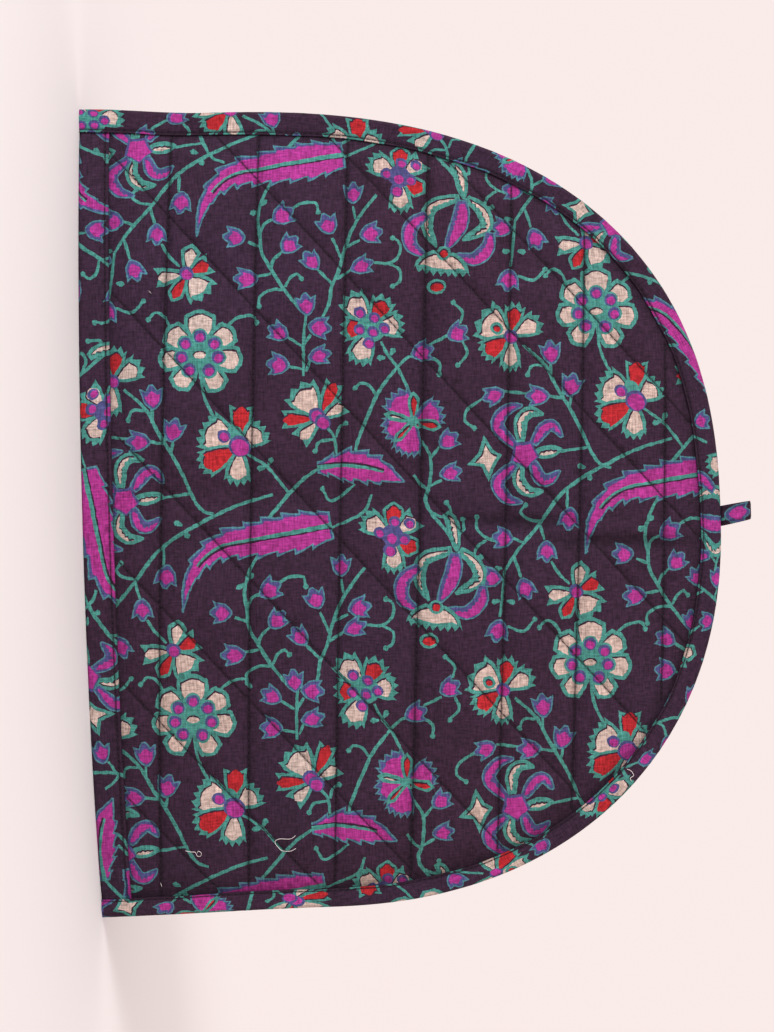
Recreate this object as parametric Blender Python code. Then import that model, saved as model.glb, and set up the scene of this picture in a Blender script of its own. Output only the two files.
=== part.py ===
"""A quilted cotton tea cosy, standing open on its hem.

Two D-shaped quilted panels meet in a binding that runs over the arch from one
end of the hem to the other. A band is folded over each panel's straight edge,
and a small loop stands on top. The hem is open, so the inside is hollow.

Frame, in metres: X runs along the hem, Y from the front face to the back one,
and Z is up. The origin lies on the floor, midway between the hem's ends. The
front panel faces -Y.
"""

import math
from collections import namedtuple

import bmesh
import bpy
from mathutils import Vector
from mathutils.geometry import delaunay_2d_cdt

# Outline, seen face on: straight up to a shoulder on each side, then an arch of
# the form |u|^power + |v|^power = 1. Each side flares a little towards the hem.
WIDTH = 0.352
HEIGHT = 0.274
APEX_X = 0.009
Side = namedtuple("Side", "sign shoulder arch_power flare")
LEFT = Side(sign=-1, shoulder=0.055, arch_power=2.44, flare=0.0030)
RIGHT = Side(sign=1, shoulder=0.098, arch_power=2.23, flare=0.0017)

# How far it stands open
HOLLOW_HALF_DEPTH = 0.030
ACROSS_POWER = 0.90
UP_POWER = 0.70

# Cloth and seams
CLOTH = 0.0012
CLEARANCE = 0.0003
BINDING_WIDTH = 0.009
HEM_BAND_HEIGHT = 0.013
EDGE_THICKNESS = 0.0018
HEM_THICKNESS = 0.0028
STITCH_THICKNESS = 0.0030
FULL_THICKNESS = 0.0058
PUFF_REACH = 0.013
SEAM_RAMP = 0.009
FOLD_REACH = 0.0018
CORNER = 0.0005

# The panels' inner faces lie this far from the plane between them at the seam.
INNER_FACE = CLEARANCE / 2
PANEL_INSET = CLOTH + CLEARANCE
PANEL_BOTTOM = CLOTH + CLEARANCE
LIP_INSET = BINDING_WIDTH + CLEARANCE
DEEPEST_SEAM_GAP = 0.006

# Quilting, as seen from the panel's own face. Each row is given where it crosses
# x = 0, and each diagonal where it crosses the hem, with its rise towards +X.
Row = namedtuple("Row", "z slope")
QUILT_ROWS = (
    Row(z=0.033, slope=-0.042),
    Row(z=0.071, slope=-0.042),
    Row(z=0.109, slope=-0.046),
    Row(z=0.143, slope=-0.053),
    Row(z=0.180, slope=-0.050),
    Row(z=0.212, slope=-0.052),
    Row(z=0.249, slope=-0.040),
)
QUILT_DIAGONALS = (-0.331, -0.284, -0.230, -0.171, -0.110, -0.050, 0.004, 0.056, 0.106)
DIAGONAL_SLOPE = 0.874

# Soft creases left by folding: straight troughs, as seen from the panel's own face
Crease = namedtuple("Crease", "start_x start_z end_x end_z depth half_width")
CREASES = (
    Crease(start_x=-0.006, start_z=0.014, end_x=-0.002, end_z=0.150, depth=0.0022, half_width=0.013),
    Crease(start_x=0.006, start_z=0.140, end_x=0.010, end_z=0.256, depth=0.0016, half_width=0.012),
    Crease(start_x=0.018, start_z=0.014, end_x=0.013, end_z=0.064, depth=0.0014, half_width=0.011),
    Crease(start_x=-0.112, start_z=0.149, end_x=0.000, end_z=0.143, depth=0.0018, half_width=0.009),
)

# The loop on top
LOOP_WIDTH = 0.0088
LOOP_HEIGHT = 0.0135
LOOP_HALF_DEPTH = 0.0048
LOOP_CLOTH = 0.0013
LOOP_LEAN = math.radians(10)
LOOP_TAPER = 0.30

# Mesh sizes
QUILT_SHARES = (0.0, 0.10, 0.28, 0.50, 0.72, 0.90)
INNER_LATTICE = 0.019
SEAM_MARGIN = 0.0045
EDGE_STEP = 0.0095
ARCH_STEPS = 27
STRAIGHT_STEPS = 10
FOLD_TURNS = (18, 50, 90)
HEM_STATIONS = 40
HEM_END_EASING = 0.6
ROOM_STEP = 0.0002
LOOP_STATIONS = 28

FRONT, BACK = -1, 1


def smooth(share):
    share = min(1.0, max(0.0, share))
    return share * share * (3 - 2 * share)


# Outline ---------------------------------------------------------------------


def side_of(x):
    return RIGHT if x > APEX_X else LEFT


def arch_half_width(side, inset):
    """From the apex's axis to the outline at the shoulder, drawn in by inset."""
    return WIDTH / 2 - side.sign * APEX_X - side.flare - inset


def half_width(side, z, inset):
    """From the apex's axis to the outline at height z, drawn in by inset."""
    half = arch_half_width(side, inset)
    if z <= side.shoulder:
        return half + side.flare * (1 - smooth(z / side.shoulder))
    share = (z - side.shoulder) / (HEIGHT - side.shoulder - inset)
    return half * max(0.0, 1 - share**side.arch_power) ** (1 / side.arch_power)


def outline(inset, bottom):
    """(x, z) points of the outline, from the hem at -X over the apex to the hem at +X."""

    def one_side(side):
        shoulder, power = side.shoulder, 2 / side.arch_power
        points = []
        for i in range(STRAIGHT_STEPS):
            z = bottom + (shoulder - bottom) * i / STRAIGHT_STEPS
            points.append((APEX_X + side.sign * half_width(side, z, inset), z))
        half, rise = arch_half_width(side, inset), HEIGHT - shoulder - inset
        for i in range(ARCH_STEPS):
            turn = math.pi / 2 * i / ARCH_STEPS
            x = APEX_X + side.sign * half * math.cos(turn) ** power
            points.append((x, shoulder + rise * math.sin(turn) ** power))
        return points

    apex = (APEX_X, HEIGHT - inset)
    return one_side(LEFT) + [apex] + one_side(RIGHT)[::-1]


def distance_to(path, x, z):
    """Shortest distance from (x, z) to a polyline."""
    best = math.inf
    for (ax, az), (bx, bz) in zip(path, path[1:]):
        dx, dz = bx - ax, bz - az
        share = ((x - ax) * dx + (z - az) * dz) / (dx * dx + dz * dz)
        share = min(1.0, max(0.0, share))
        best = min(best, math.hypot(x - ax - share * dx, z - az - share * dz))
    return best


LIP = outline(LIP_INSET, PANEL_BOTTOM)


def inside_lip(x, z, margin=0.0):
    """Whether a point lies inside the binding's inner edge by the margin."""
    return z < HEIGHT - LIP_INSET and abs(x - APEX_X) < half_width(side_of(x), z, LIP_INSET + margin)


# Form ------------------------------------------------------------------------


def trough(crease, seen_x, z):
    """How far one crease draws the cloth in, at a point as seen from the panel's own face."""
    along_x, along_z = crease.end_x - crease.start_x, crease.end_z - crease.start_z
    length = math.hypot(along_x, along_z)
    away_x, away_z = seen_x - crease.start_x, z - crease.start_z
    share = (away_x * along_x + away_z * along_z) / length**2
    across = abs(away_x * along_z - away_z * along_x) / length
    if not 0 < share < 1:
        return 0.0
    return crease.depth * math.sin(math.pi * share) ** 0.5 * (1 - smooth(across / crease.half_width))


def hollow(x, z, facing):
    """How far a panel's inner face stands off the plane between the panels at (x, z)."""
    half = half_width(side_of(x), z, LIP_INSET)
    up = z / (HEIGHT - LIP_INSET)
    if up >= 1 or abs(x - APEX_X) >= half:
        return 0.0
    across = abs(x - APEX_X) / half
    depth = HOLLOW_HALF_DEPTH * (1 - across**2) ** ACROSS_POWER * (1 - up) ** UP_POWER
    creased = sum(trough(crease, -facing * x, z) for crease in CREASES)
    return max(0.0, depth - creased * smooth(depth / DEEPEST_SEAM_GAP))


def inner_face(x, z, facing):
    return INNER_FACE + hollow(x, z, facing)


def outer_face(x, z, facing):
    return inner_face(x, z, facing) + thickness(x, z, facing)


def stitch_lines():
    """(x, z, slope) of each quilting line: a point on it, and its rise towards +X."""
    rows = [(0.0, row.z, row.slope) for row in QUILT_ROWS]
    return rows + [(x, 0.0, DIAGONAL_SLOPE) for x in QUILT_DIAGONALS]


def distance_to_stitching(seen_x, z):
    return min(
        abs((z - line_z) - slope * (seen_x - line_x)) / math.hypot(1, slope)
        for line_x, line_z, slope in stitch_lines()
    )


def thickness(x, z, facing):
    """The quilted panel's thickness: thin in its seams and at its stitching, full between."""
    if not inside_lip(x, z):
        return EDGE_THICKNESS
    away = min(1.0, distance_to_stitching(-facing * x, z) / PUFF_REACH)
    full = STITCH_THICKNESS + (FULL_THICKNESS - STITCH_THICKNESS) * (1 - (1 - away) ** 2)
    above_band = smooth((z - HEM_BAND_HEIGHT - CLEARANCE) / SEAM_RAMP)
    full = HEM_THICKNESS + (full - HEM_THICKNESS) * above_band
    inward = smooth(distance_to(LIP, x, z) / SEAM_RAMP)
    return EDGE_THICKNESS + (full - EDGE_THICKNESS) * inward


# Panels ----------------------------------------------------------------------


def levels_between(lines):
    """Lines spread between each neighbouring pair, with more of them close to each one."""
    levels = []
    for low, high in zip(lines, lines[1:]):
        for share in QUILT_SHARES:
            levels.append(tuple(a + (b - a) * share for a, b in zip(low, high)))
    return levels


def crossing(row, diagonal):
    """(x, z) where a row-like line meets a diagonal one."""
    x = (diagonal + row.z / DIAGONAL_SLOPE) / (1 - row.slope / DIAGONAL_SLOPE)
    return x, row.z + row.slope * x


def clear_of_seams(x, z):
    low = HEM_BAND_HEIGHT + CLEARANCE + SEAM_MARGIN
    return z > low and inside_lip(x, z, SEAM_MARGIN)


def quilted_net(facing):
    """(points, edges) of the outer face, along the quilting lines and between them."""
    spare = QUILT_ROWS[0].z - QUILT_ROWS[1].z
    below = Row(QUILT_ROWS[0].z + spare, QUILT_ROWS[0].slope)
    above = Row(QUILT_ROWS[-1].z - spare, QUILT_ROWS[-1].slope)
    rows = [Row(*level) for level in levels_between((below, *QUILT_ROWS, above))]
    diagonals = [x for (x,) in levels_between([(x,) for x in QUILT_DIAGONALS])]
    points, index, edges = [], {}, []
    for i, row in enumerate(rows):
        for j, diagonal in enumerate(diagonals):
            seen_x, z = crossing(row, diagonal)
            if clear_of_seams(-facing * seen_x, z):
                index[i, j] = len(points)
                points.append((-facing * seen_x, z))
    for (i, j), here in index.items():
        edges.extend((here, index[after]) for after in ((i + 1, j), (i, j + 1)) if after in index)
    return points, edges


def plain_points():
    """(x, z) points of the inner face, in staggered rows."""
    row_height = INNER_LATTICE * math.sqrt(3) / 2
    points = []
    for j in range(int(HEIGHT / row_height)):
        z = HEM_BAND_HEIGHT + (j + 1) * row_height
        for i in range(-int(WIDTH / INNER_LATTICE), int(WIDTH / INNER_LATTICE)):
            x = (i + (j % 2) / 2) * INNER_LATTICE
            if clear_of_seams(x, z):
                points.append((x, z))
    return points


def level_points(z, inset):
    """(x, z) points on one level, from the outline's -X side to its +X side."""
    left = APEX_X - half_width(LEFT, z, inset)
    right = APEX_X + half_width(RIGHT, z, inset)
    steps = round((right - left) / EDGE_STEP)
    return [(left + (right - left) * i / steps, z) for i in range(steps + 1)]


def panel_net(border, points, lines):
    """(points, triangles, border's indices) of a face-on net with edges along the panel's seams."""
    net, edges = [], []
    for chain in (border, LIP, level_points(HEM_BAND_HEIGHT + CLEARANCE, LIP_INSET)):
        edges.extend((len(net) + i, len(net) + i + 1) for i in range(len(chain) - 1))
        net.extend(Vector(p) for p in chain)
    edges.extend((len(net) + a, len(net) + b) for a, b in lines)
    net.extend(Vector(p) for p in points)
    rim = list(range(len(border)))
    found = delaunay_2d_cdt(net, edges, [rim], 1, 1e-6)
    made_from = {given: made for made, sources in enumerate(found[3]) for given in sources}
    return found[0], found[2], [made_from[i] for i in rim]


def make_panel(name, facing, material):
    """A quilted panel: a plain inner face and a quilted outer one, joined round the rim."""
    border = outline(PANEL_INSET, PANEL_BOTTOM) + level_points(PANEL_BOTTOM, LIP_INSET)[::-1]
    bm = bmesh.new()

    def add_face(depth, points, lines=()):
        net, triangles, rim = panel_net(border, points, lines)
        verts = [bm.verts.new((p.x, facing * depth(p.x, p.y, facing), p.y)) for p in net]
        for triangle in triangles:
            bm.faces.new([verts[i] for i in triangle])
        return [verts[i] for i in rim]

    inner_rim = add_face(inner_face, plain_points())
    outer_rim = add_face(outer_face, *quilted_net(facing))
    for i in range(len(border)):
        bm.faces.new((inner_rim[i - 1], inner_rim[i], outer_rim[i], outer_rim[i - 1]))
    return finish_object(name, bm, material)


# Strips ----------------------------------------------------------------------


def loft(name, sections, material, ring=False):
    """A solid through sections of equally many points, closed on itself or capped at both ends."""
    bm = bmesh.new()
    rows = [[bm.verts.new(p) for p in section] for section in sections]
    count = len(rows[0])
    following = rows[1:] + rows[:1] if ring else rows[1:]
    for row, after in zip(rows, following):
        for i in range(count):
            j = (i + 1) % count
            bm.faces.new((row[i], row[j], after[j], after[i]))
    if not ring:
        bm.faces.new(rows[0])
        bm.faces.new(rows[-1][::-1])
    return finish_object(name, bm, material)


def binding_section():
    """(inset, y) points round the binding: a strip folded over both panels' edges."""
    slot = INNER_FACE + EDGE_THICKNESS + CLEARANCE
    face = slot + CLOTH
    half = []
    for turn in map(math.radians, FOLD_TURNS):
        half.append((FOLD_REACH * (1 - math.cos(turn)), face * math.sin(turn)))
    half += [
        (BINDING_WIDTH - CORNER, face),
        (BINDING_WIDTH, face - CORNER),
        (BINDING_WIDTH, slot),
        (CLOTH, slot),
    ]
    return half + [(inset, -y) for inset, y in reversed(half)]


def make_binding(material):
    """The binding, from one end of the hem over the arch to the other."""
    paths = [[(x, y, z) for x, z in outline(inset, 0.0)] for inset, y in binding_section()]
    return loft("edge_binding", list(zip(*paths)), material)


def hem_section(x, facing):
    """Points round the hem band at x: a strip folded under the panel's straight edge."""
    top = HEM_BAND_HEIGHT
    middle = HEM_BAND_HEIGHT / 2

    def outside(z, out=CLOTH):
        return inner_face(x, z, facing) + HEM_THICKNESS + CLEARANCE + out

    def inside(z, inward=CLOTH):
        face = inner_face(x, z, facing)
        leg = min(inward, face - 2 * CLEARANCE - INNER_FACE)
        return face - CLEARANCE - leg

    section = [
        (outside(0, CLOTH - CORNER), 0.0),
        (outside(CORNER), CORNER),
        (outside(middle), middle),
        (outside(top - CORNER), top - CORNER),
        (outside(top, CLOTH - CORNER), top),
        (outside(top, 0.0), top),
        (outside(CLOTH, 0.0), CLOTH),
        (inside(CLOTH, 0.0), CLOTH),
        (inside(top, 0.0), top),
        (inside(top), top),
        (inside(middle), middle),
        (inside(0), 0.0),
    ]
    return [(x, facing * y, z) for y, z in section]


def make_hem_band(name, facing, material):
    """The band runs as far into the seam as its inner leg still has room."""
    least_hollow = 3 * CLEARANCE
    full_turn = 2 * math.pi

    def room_ends(side):
        x = APEX_X + side.sign * half_width(side, 0.0, LIP_INSET)
        while hollow(x, HEM_BAND_HEIGHT, facing) < least_hollow:
            x -= side.sign * ROOM_STEP
        return x

    left, right = room_ends(LEFT), room_ends(RIGHT)
    stations = []
    for i in range(HEM_STATIONS + 1):
        share = i / HEM_STATIONS
        share -= HEM_END_EASING * math.sin(full_turn * share) / full_turn
        stations.append(left + (right - left) * share)
    return loft(name, [hem_section(x, facing) for x in stations], material)


def make_loop(material):
    """The loop: a strip standing in a closed teardrop, leaning towards -X."""
    foot = HEIGHT + CLEARANCE
    half_cloth = LOOP_CLOTH / 2
    half_height = LOOP_HEIGHT / 2 - half_cloth
    sections = []

    def centre(angle):
        y = (LOOP_HALF_DEPTH - half_cloth) * math.sin(angle) * (1 - LOOP_TAPER * math.cos(angle))
        return Vector((y, half_height * (1 - math.cos(angle))))

    turn = 2 * math.pi / LOOP_STATIONS
    for i in range(LOOP_STATIONS):
        angle = turn * i
        along = (centre(angle + turn / 4) - centre(angle - turn / 4)).normalized()
        outward = Vector((along.y, -along.x)) * half_cloth
        section = []
        for across, side in ((-1, 1), (1, 1), (1, -1), (-1, -1)):
            y, z = centre(angle) + side * outward
            height = z + half_cloth
            x = APEX_X + across * LOOP_WIDTH / 2 - math.tan(LOOP_LEAN) * height
            section.append((x, y, foot + height))
        sections.append(section)
    return loft("top_loop", sections, material, ring=True)


# Objects ---------------------------------------------------------------------


def cloth_material(name, colour, roughness):
    material = bpy.data.materials.new(name)
    material.use_nodes = True
    shader = material.node_tree.nodes["Principled BSDF"]
    shader.inputs["Base Color"].default_value = (*colour, 1.0)
    shader.inputs["Roughness"].default_value = roughness
    shader.inputs["Metallic"].default_value = 0.0
    return material


def finish_object(name, bm, material):
    bmesh.ops.recalc_face_normals(bm, faces=bm.faces[:])
    mesh = bpy.data.meshes.new(name)
    bm.to_mesh(mesh)
    bm.free()
    mesh.shade_smooth()
    mesh.set_sharp_from_angle(angle=math.radians(40))
    mesh.materials.append(material)
    obj = bpy.data.objects.new(name, mesh)
    bpy.data.collections["tea_cosy"].objects.link(obj)
    return obj


def main():
    for obj in list(bpy.data.objects):
        bpy.data.objects.remove(obj, do_unlink=True)
    bpy.context.scene.collection.children.link(bpy.data.collections.new("tea_cosy"))
    panel_cotton = cloth_material("panel_cotton", (0.075, 0.022, 0.055), 0.85)
    band_cotton = cloth_material("band_cotton", (0.090, 0.028, 0.065), 0.80)
    make_panel("front_panel", FRONT, panel_cotton)
    make_panel("back_panel", BACK, panel_cotton)
    make_hem_band("front_hem_band", FRONT, band_cotton)
    make_hem_band("back_hem_band", BACK, band_cotton)
    make_binding(band_cotton)
    make_loop(band_cotton)


main()
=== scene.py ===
"""The looks of a quilted, block-printed cotton tea cosy that stands on its hem.

The printed cloth is a mesh whose edges follow the print, so that every shape of the
floral pattern is a patch of faces with its own colour. The cloth is laid out flat in
millimetres first, and then bent onto the panels, the bands and the loop.

Frame, in metres: X runs along the hem, Y from the front face to the back one, Z is up.
Seen from its own outer side, a panel's points are (seen x, z), with seen x to the right.
"""

import math
from collections import namedtuple
from functools import partial
from itertools import product

import bpy
import numpy as np
from mathutils import Matrix, Vector
from mathutils.geometry import delaunay_2d_cdt


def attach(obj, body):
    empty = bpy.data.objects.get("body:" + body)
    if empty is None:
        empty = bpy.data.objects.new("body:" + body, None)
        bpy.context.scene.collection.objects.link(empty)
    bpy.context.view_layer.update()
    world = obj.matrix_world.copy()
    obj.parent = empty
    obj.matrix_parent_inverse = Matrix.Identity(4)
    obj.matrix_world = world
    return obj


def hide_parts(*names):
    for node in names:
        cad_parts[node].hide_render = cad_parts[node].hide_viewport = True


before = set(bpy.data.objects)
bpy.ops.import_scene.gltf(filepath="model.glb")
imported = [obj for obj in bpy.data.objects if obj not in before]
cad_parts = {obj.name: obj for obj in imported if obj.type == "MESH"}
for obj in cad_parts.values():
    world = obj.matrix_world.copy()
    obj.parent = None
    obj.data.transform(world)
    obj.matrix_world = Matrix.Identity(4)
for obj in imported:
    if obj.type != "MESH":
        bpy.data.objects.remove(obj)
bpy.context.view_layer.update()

MM = 0.001
FRONT, BACK = -1, 1
random = np.random.default_rng(7)

# Sizes of the solids, in mm ----------------------------------------------------

WIDTH = 352.0
HEIGHT = 274.0
APEX_X = 9.0
Side = namedtuple("Side", "sign shoulder arch_power flare")
LEFT = Side(sign=-1, shoulder=55.0, arch_power=2.44, flare=3.0)
RIGHT = Side(sign=1, shoulder=98.0, arch_power=2.23, flare=1.7)

HOLLOW_HALF_DEPTH = 30.0
ACROSS_POWER = 0.90
UP_POWER = 0.70
CLOTH = 1.2
CLEARANCE = 0.3
INNER_FACE = CLEARANCE / 2
PANEL_INSET = CLOTH + CLEARANCE
LIP_INSET = 9.3  # how far the binding's seam lies inside the outline
DEEPEST_SEAM_GAP = 6.0
HEM_BAND_HEIGHT = 13.0
EDGE_THICKNESS = 1.8
HEM_THICKNESS = 2.8
STITCH_THICKNESS = 3.0
FULL_THICKNESS = 5.8
PUFF_REACH = 13.0
SEAM_RAMP = 9.0

# Quilting, as seen from the panel's own face: rows by where they cross seen x = 0, and
# diagonals by where they cross the hem.
Row = namedtuple("Row", "z slope")
QUILT_ROWS = (
    Row(33, -0.042), Row(71, -0.042), Row(109, -0.046), Row(143, -0.053), Row(180, -0.050),
    Row(212, -0.052), Row(249, -0.040),
)
FOLDED_ROW = 3  # the row that the cosy was folded along
QUILT_DIAGONALS = (-331, -284, -230, -171, -110, -50, 4, 56, 106)
DIAGONAL_SLOPE = 0.874

Crease = namedtuple("Crease", "start_x start_z end_x end_z depth half_width")
CREASES = (
    Crease(-6, 14, -2, 150, 2.2, 13),
    Crease(6, 140, 10, 256, 1.6, 12),
    Crease(7, 150, 10, 218, 1.5, 4.5),
    Crease(17, 194, 20, 270, 2.3, 5),
    Crease(18, 14, 13, 64, 1.4, 11),
    Crease(-112, 149, 0, 143, 1.8, 9),
)
# Creases up to this half width also get a line of painted shade along them.
SHARP_WIDTH = 5  # creases up to this half width also show as a dark line

# Print -----------------------------------------------------------------------
# Chart positions are in mm, u along the cloth and v across it, from the middle of the
# rosette. Angles are in degrees from +u towards +v.

INKS = {
    "ground": (50, 32, 50),
    "teal": (65, 130, 122),
    "blue": (67, 115, 127),
    "violet": (69, 71, 117),
    "magenta": (152, 48, 125),
    "cream": (182, 163, 154),
    "red": (160, 35, 41),
}
INK_NAMES = list(INKS)
OUTLINE_STEP = 1.25  # between the points of a printed outline
SHORTEST_EDGE = 0.12
MERGE_DISTANCE = 1e-4
STAMPS_EACH_WAY = 4
WOBBLE = 0.11  # of a printed outline's points
STEM_WIDTH = 1.55
STALK_WIDTH = 1.3
LEAF_TOOTH = 2.5
CURL_DOT = 1.15
REGISTER_SLIP = np.array((0.15, 0.45))  # of the fills' block

# What each kind of shape shows from its rim inwards: ink, inset, and whether the inset is
# from the shape's core, which has no teeth. The last of these is the fill. It is printed
# with another block, which lies a little off the block of the lines.
Layer = namedtuple("Layer", "ink inset from_core")
LAYERS = {
    "cream": (Layer("teal", 0.15, False), Layer("ground", 1.6, True), Layer("cream", 1.85, True)),
    "rose": (Layer("teal", 0.15, False), Layer("ground", 1.8, True), Layer("cream", 2.05, True)),
    "red": (Layer("teal", 0.15, False), Layer("ground", 1.3, True), Layer("red", 1.55, True)),
    "magenta": (Layer("blue", 0.1, False), Layer("violet", 0.7, False), Layer("magenta", 1.4, True)),
    "leaf": (Layer("blue", 0, False), Layer("violet", 0.7, False), Layer("magenta", 1.25, True)),
    "dot": (Layer("violet", 0, False), Layer("magenta", 0.9, True)),
    "teal": (Layer("teal", 0, False),),
    "violet": (Layer("violet", 0, False),),
}

# The blocks are stamped by hand in rows, so their steps differ a little.
Block = namedtuple("Block", "along across")
BLOCKS = {
    "upper": Block(along=(-5.0, 160.5), across=(172.0, -15.0)),
    "lower": Block(along=(-3.0, 155.0), across=(170.0, -20.0)),
    "outer": Block(along=(-3.5, 152.0), across=(170.0, -20.0)),
}
STAMP_SLIPS = {
    ("upper", 1, 1): (0.0, -9.5),
    ("upper", 2, 0): (2.0, -4.0),
    ("lower", 1, 1): (0.0, -3.5),
    ("outer", 1, 1): (0.0, -2.0),
}

Petal = namedtuple("Petal", "angle length width teeth fill")
FLOWERS = {
    "rosette": (
        Petal(-90, 19.5, 14.0, 0, "rose"), Petal(-38, 18.5, 11.5, 0, "rose"),
        Petal(8, 18.5, 12.0, 0, "rose"), Petal(60, 18.0, 11.0, 0, "rose"),
        Petal(125, 18.0, 11.0, 0, "rose"), Petal(172, 18.0, 11.0, 0, "rose"),
        Petal(218, 18.5, 12.0, 0, "rose"),
    ),
    "small": (
        Petal(-80, 13.5, 8.5, 1, "cream"), Petal(-25, 13.5, 9.0, 2, "red"),
        Petal(50, 14.0, 14.0, 3, "cream"), Petal(118, 14.0, 7.5, 1, "red"),
        Petal(172, 16.0, 8.5, 2, "cream"),
    ),
    "carnation": (
        Petal(207, 19.0, 16.5, 5, "cream"), Petal(-88, 20.5, 10.0, 2, "red"),
        Petal(-38, 14.5, 12.5, 4, "cream"), Petal(152, 20.0, 12.0, 4, "red"),
        Petal(94, 17.5, 11.0, 4, "cream"),
    ),
    "star": (
        Petal(234, 18.0, 15.0, 3, "cream"), Petal(-68, 20.0, 8.0, 2, "red"),
        Petal(-30, 15.0, 8.0, 2, "cream"), Petal(178, 19.0, 8.0, 2, "red"),
        Petal(133, 15.5, 8.5, 2, "cream"),
    ),
    "dotted": (
        Petal(235, 19.0, 12.0, 3, "cream"), Petal(-66, 16.0, 10.5, 3, "red"),
        Petal(-8, 15.0, 12.0, 4, "cream"), Petal(113, 18.0, 12.0, 4, "cream"),
        Petal(178, 14.0, 11.0, 3, "red"),
    ),
    "peony": (
        Petal(232, 16.0, 13.5, 4, "magenta"), Petal(-90, 13.0, 5.5, 1, "red"),
        Petal(-24, 14.5, 12.5, 4, "magenta"), Petal(12, 12.5, 5.5, 1, "red"),
        Petal(160, 15.0, 11.0, 4, "magenta"), Petal(193, 13.5, 4.6, 1, "cream"),
        Petal(104, 16.5, 12.5, 5, "magenta"), Petal(133, 13.0, 4.2, 1, "red"),
    ),
    "cross": (
        Petal(-88, 15.0, 9.5, 1, "red"), Petal(-38, 15.5, 10.0, 2, "cream"),
        Petal(32, 13.5, 9.5, 1, "red"), Petal(88, 17.0, 10.5, 4, "cream"),
        Petal(212, 16.5, 11.0, 4, "cream"),
    ),
    "pink": (
        Petal(-82, 15.5, 9.0, 3, "red"), Petal(210, 17.0, 17.0, 3, "cream"),
        Petal(-28, 15.5, 10.5, 3, "cream"), Petal(146, 16.5, 10.5, 4, "red"),
        Petal(92, 16.5, 9.5, 4, "cream"),
    ),
}

Spot = namedtuple("Spot", "u v radius kind")
HEARTS = {
    "small": (Spot(0, 0, 3.3, "dot"),),
    "carnation": (Spot(-2.0, -5.5, 3.6, "teal"), Spot(0, 0, 4.9, "dot"), Spot(-6.6, -4.3, 3.0, "dot")),
    "star": (Spot(-1.2, -1.0, 3.8, "dot"), Spot(1.2, 1.6, 3.6, "dot")),
    "dotted": (
        Spot(0, 0, 6.5, "teal"), Spot(-5.0, -6.5, 2.8, "dot"), Spot(1.2, -4.3, 2.6, "dot"),
        Spot(-5.2, 0.9, 2.6, "dot"), Spot(0.6, 1.8, 2.6, "dot"), Spot(5.5, 0.3, 2.6, "dot"),
        Spot(-1.2, 6.7, 2.8, "dot"),
    ),
    "peony": (Spot(0, 0, 2.4, "teal"), Spot(1.6, 1.6, 2.0, "red")),
    "cross": (
        Spot(0, 0, 5.2, "violet"), Spot(0.8, -6.0, 2.7, "dot"), Spot(-0.4, 0.8, 3.2, "dot"),
        Spot(-1.2, 6.2, 3.1, "dot"), Spot(-5.6, -1.4, 2.7, "dot"), Spot(7.2, -5.2, 2.6, "dot"),
        Spot(4.8, 1.4, 2.7, "dot"),
    ),
    "pink": (Spot(0, 0.4, 3.3, "dot"), Spot(-6.2, -3.0, 3.1, "red")),
}
ROSETTE_DISC = 7.2
ROSETTE_RING = 7.8  # where the rosette's dots are, one to a petal
ROSETTE_DOT = 2.75
ROSETTE_DOT_RIM = 3.6
ROSETTE_EYE = 4.6

# From here on, what each block prints: flowers as (kind, u, v)
BLOOMS = {
    "upper": (("small", -6, -35),),
    "lower": (
        ("rosette", 0, 0), ("carnation", 17, 39), ("star", 51, 27), ("dotted", 73, -12),
        ("peony", 91, 28), ("cross", 85, -78),
    ),
    "outer": (("pink", 133, -9),),
}

# Buds and leaflets as (u, v, angle)
BUDS = {
    "upper": (
        (-9, -66, 92), (-19, -52, 80), (-38, -58, 184), (-28, -36, 72), (-43, -41, 188), (-40, -18, 95),
        (35, -61, -28), (14, -51, 190), (38, -48, -48), (19, -33, 178), (45, -22, -88), (54, -57, -108),
        (47, -41, -135), (65, -71, -95), (73, -53, -14),
    ),
    "lower": (
        (69, -39, -22), (51, -12, 10), (51, 0, -12), (33, -10, 202), (33, 4, 186), (95, -2, -24),
        (106, 36, -32), (107, 50, -20),
    ),
    "outer": (
        (110, -10, -24), (150, -2, -90), (159, 12, -82), (125, 17, 165), (144, 17, 188),
    ),
}

Leaf = namedtuple("Leaf", "points widths teeth")
LEAVES = {
    "upper": Leaf(
        points=((-2, -51), (0, -62), (5, -72), (14, -79), (28, -82), (45, -85), (61, -88)),
        widths=(0.8, 5.0, 9.5, 13.5, 16.0, 17.0, 12.0),
        teeth=10,
    ),
    "lower": Leaf(
        points=((87, 54), (75, 49), (62, 47), (50, 48)),
        widths=(1.0, 12.0, 14.5, 5.0),
        teeth=6,
    ),
}

Stem = namedtuple("Stem", "points curls")


def stem(*points):
    return Stem(points, False)


def curl(*points):
    """A stem that curls up into a dot."""
    return Stem(points, True)


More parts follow.
